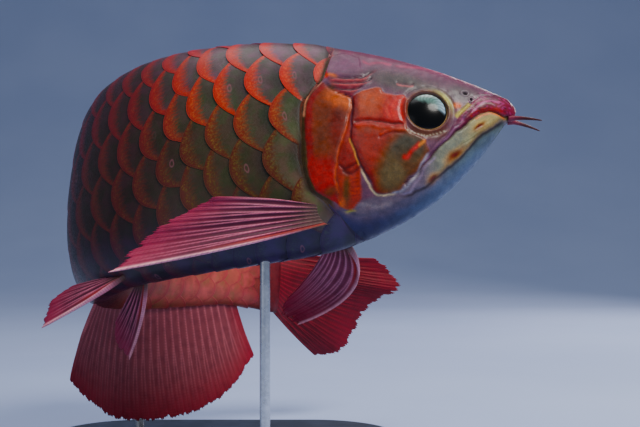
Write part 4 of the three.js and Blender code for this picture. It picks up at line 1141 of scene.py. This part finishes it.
def make_fins(material):
    wine = (srgb(84, 16, 48), srgb(236, 126, 156), srgb(160, 18, 70))
    rose = (srgb(150, 66, 78), srgb(206, 108, 120), srgb(164, 0, 46))
    crimson = (srgb(104, 0, 24), srgb(156, 10, 40), srgb(138, 0, 36))
    lilac = (srgb(124, 50, 78), srgb(222, 132, 162), srgb(160, 12, 54))
    for name, form, tints, waves in (
        ("pectoral_fin_right", {**PECTORAL, **PECTORAL_RIGHT}, wine, (1.5, 1.6)),
        ("pectoral_fin_left", {**PECTORAL, **PECTORAL_LEFT}, lilac, (1.5, 1.6)),
        ("pelvic_fin_right", {**PELVIC, **PELVIC_RIGHT}, wine, (0.8, 1.2)),
        ("pelvic_fin_left", {**PELVIC, **PELVIC_LEFT}, wine, (0.8, 1.2)),
    ):
        make_fin(name, form, paired_fan, material, tints, waves, leading=True)
    make_fin("anal_fin", ANAL, midline_fan, material, rose, (1.6, 2.6))
    make_fin("dorsal_fin", DORSAL, midline_fan, material, rose, (1.2, 2.2))
    make_fin("tail_fin", TAIL, tail_fan, material, crimson, (2.0, 2.0), stem=half_width_at(STALK_END))


# Eyes and barbels

def make_eyes(material):
    rings, spokes = 44, 96
    radius, dome = EYE["radius"], EYE["dome"]
    curve = (radius**2 + dome**2) / (2 * dome)
    r = np.concatenate([np.linspace(0.002, 1, rings), [1.0]])[:, None]
    turn = np.linspace(0, 2 * np.pi, spokes, endpoint=False)[None, :]
    x, z = r * np.cos(turn), r * np.sin(turn)
    rise = np.sqrt(curve**2 - (r * radius) ** 2) - curve + dome - EYE["sunk"]
    rise[-1] -= EYE["rim"]

    # painted reflection of the lights on the upper, forward side of the eye, streaked
    painted_sheen = smooth(z + 0.55 * x + 0.05 * np.sin(9 * turn) - 0.16, 0, 0.3) * smooth(0.9 - r, 0, 0.06)
    streaks = 0.75 + 0.25 * np.sin(23 * turn + 3 * np.sin(9 * r)) * smooth(r, 0.3, 0.7)
    lit = mixed(srgb(96, 138, 128), srgb(168, 196, 214), smooth(x - 0.2, 0, 0.7))
    lit = mixed(lit, srgb(206, 226, 222), smooth(z - 0.62, 0, 0.25))
    colour = mixed(srgb(6, 7, 9), lit, painted_sheen * (0.45 + 0.55 * smooth(r, 0.1, 0.75)) * streaks)
    colour = mixed(colour, srgb(20, 16, 22), smooth(r, 0.9, 0.92) * (1 - smooth(r, 0.95, 0.965)))
    colour = mixed(colour, srgb(190, 150, 84), smooth(r, 0.955, 0.975))
    for side, name in ((1, "eye_right"), (-1, "eye_left")):
        centre, forward, normal, above = eye_frame(side)
        flat = radius * (x[..., None] * forward + z[..., None] * above)
        points = centre + MM * (flat + rise[..., None] * normal)
        faces = [*grid_faces(rings + 1, spokes, closed=True).tolist(), list(range(spokes))[::-1]]
        if side < 0:
            faces = [face[::-1] for face in faces]
        piece = new_piece(
            name + "_ball", points.reshape(-1, 3), faces, material, colours={"paint": colour.reshape(-1, 3)},
        )
        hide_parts(name)


def eye_finish():
    finish = Finish("wet_eye", 0.25, coat=0.12, coat_roughness=0.08, specular=0.15)
    paint = finish.attribute("paint", "Color")
    finish.colour(finish.mottled(paint, 500, 3, 0.4, 0.7, 0.2, (0.7, 0.7, 0.7)))
    return finish.material


BARBEL = {"s": 2, "out": 2.4, "up": 23, "forward": 17, "spread": 5, "drop": 4, "radius": 1.5, "tip": 0.35}


def make_barbels(material):
    rows, spokes = 40, 16
    share = np.linspace(-0.12, 1, rows)
    t = np.maximum(share, 0)
    radius = (BARBEL["radius"] + (BARBEL["tip"] - BARBEL["radius"]) * t) * (1 + 0.25 * bell(t, 0, 0.08))
    radius = radius * np.sqrt(np.clip((1.02 - share) * 14, 0, 1))
    turn = np.linspace(0, 2 * np.pi, spokes, endpoint=False)[None, :, None]
    colour = mixed(srgb(122, 24, 58), srgb(66, 2, 14), np.tile(smooth(t, 0.05, 0.5)[:, None], spokes))
    for side, name in ((1, "barbel_right"), (-1, "barbel_left")):
        s = BARBEL["s"] - share * BARBEL["forward"]
        path = place(s, side * (BARBEL["out"] + BARBEL["spread"] * t), BARBEL["up"] - BARBEL["drop"] * t**1.5)
        ahead = np.gradient(path, axis=0)
        ahead /= np.linalg.norm(ahead, axis=1, keepdims=True)
        first = np.cross(ahead, TURN[:, 2])
        first /= np.linalg.norm(first, axis=1, keepdims=True)
        offset = np.cos(turn) * first[:, None] + np.sin(turn) * np.cross(ahead, first)[:, None]
        points = path[:, None] + offset * radius[:, None, None] * MM
        faces = grid_faces(rows, spokes, closed=True).tolist()
        faces += [list(range(spokes))[::-1], [(rows - 1) * spokes + k for k in range(spokes)]]
        piece = new_piece(
            name + "_feeler", points.reshape(-1, 3), faces, material, colours={"paint": colour.reshape(-1, 3)},
        )
        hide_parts(name)


def feeler_finish():
    finish = Finish("feeler_skin", 0.45, coat=0.05, coat_roughness=0.2, specular=0.3)
    paint = finish.attribute("paint", "Color")
    finish.colour(finish.mottled(paint, 800, 3, 0.4, 0.7, 0.4, (0.6, 0.5, 0.5)))
    finish.bump(finish.noise(1600, 2), 0.2, 0.0003)
    return finish.material


# Stand

def dress_stand():
    base = Finish("stand_lacquer", 0.3, coat=0.15, coat_roughness=0.2)
    base.colour(base.mix(base.ramp(base.noise(60, 4), 0.4, 0.7), (0.022, 0.022, 0.024), (0.03, 0.03, 0.033)))
    base.roughness(base.ramp(base.noise(35, 4), 0.3, 0.7, 0.26, 0.38))
    base.bump(base.noise(1200, 2), 0.05, 0.0002)
    steel = Finish("stand_steel", 0.28, metallic=1.0)
    steel.colour(steel.mix(steel.ramp(steel.noise(400, 2), 0.4, 0.7), (0.56, 0.57, 0.58), (0.66, 0.67, 0.68)))
    steel.roughness(steel.ramp(steel.noise(90, 3), 0.3, 0.7, 0.2, 0.34))
    for name, finish in (("stand_base", base), ("stand_rod_front", steel), ("stand_rod_rear", steel)):
        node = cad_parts[name]
        node.data.materials.clear()
        node.data.materials.append(finish.material)


# Floor, light and camera

def make_stage():
    floor = Finish("studio_floor", 0.75, specular=0.2)
    tint = floor.mix(floor.ramp(floor.noise(3, 3), 0.3, 0.7), (0.40, 0.49, 0.76), (0.44, 0.53, 0.80))
    floor.colour(tint)
    depth, height, width, bend = 2.9, 2.8, 5.0, 1.6
    turn = np.radians(np.linspace(-90, 0, 13))
    profile = [(-3.5, 0), *zip(depth - bend + bend * np.cos(turn), bend + bend * np.sin(turn)), (depth, height)]
    points = [(x, y, z) for y, z in profile for x in (-width, width)]
    mesh = bpy.data.meshes.new("backdrop")
    mesh.from_pydata(points, [], grid_faces(len(profile), 2).tolist())
    mesh.polygons.foreach_set("use_smooth", np.ones(len(mesh.polygons), bool))
    mesh.materials.append(floor.material)
    backdrop = bpy.data.objects.new("backdrop", mesh)
    bpy.context.scene.collection.objects.link(backdrop)


LIGHTS = [
    # name, place, what it looks at, size, power in watts, colour
    ("key", (0.6, -0.55, 1.05), (0.1, -0.06, 0.2), (0.55, 0.45), 13.5, (1.0, 0.96, 0.9)),
    ("fill", (-0.9, -1.1, 0.45), (0.0, 0.0, 0.18), (0.9, 0.9), 1.2, (0.86, 0.92, 1.0)),
    ("top", (0.0, 0.1, 1.25), (0.05, 0.0, 0.15), (1.0, 0.8), 6, (0.96, 0.98, 1.0)),
    ("back", (0.7, 1.0, 0.7), (0.0, 0.1, 0.15), (0.6, 0.8), 7, (1.0, 0.95, 0.95)),
]


def make_lights():
    for name, where, target, size, power, colour in LIGHTS:
        light = bpy.data.lights.new(name, "AREA")
        light.shape = "ELLIPSE"
        light.size, light.size_y = size
        light.energy = power
        light.color = colour
        lamp = bpy.data.objects.new(name, light)
        lamp.location = where
        lamp.rotation_euler = (Vector(target) - Vector(where)).to_track_quat("-Z", "Y").to_euler()
        bpy.context.scene.collection.objects.link(lamp)
    world = bpy.data.worlds.new("studio")
    world.use_nodes = True
    world.node_tree.nodes["Background"].inputs["Color"].default_value = (0.72, 0.8, 0.95, 1)
    world.node_tree.nodes["Background"].inputs["Strength"].default_value = 0.26
    bpy.context.scene.world = world


def make_camera():
    camera = bpy.data.cameras.new("photo_view")
    camera.sensor_width = 36
    camera.lens = CAMERA_LENS
    holder = bpy.data.objects.new("photo_view", camera)
    holder.location = CAMERA_PLACE
    holder.rotation_euler = (math.radians(90), 0, 0)
    bpy.context.scene.collection.objects.link(holder)
    bpy.context.scene.camera = holder


make_camera()
make_skin(skin_finish())
make_scales(scale_finish())
make_fins(fin_finish())
make_eyes(eye_finish())
make_barbels(feeler_finish())
dress_stand()
make_stage()
make_lights()
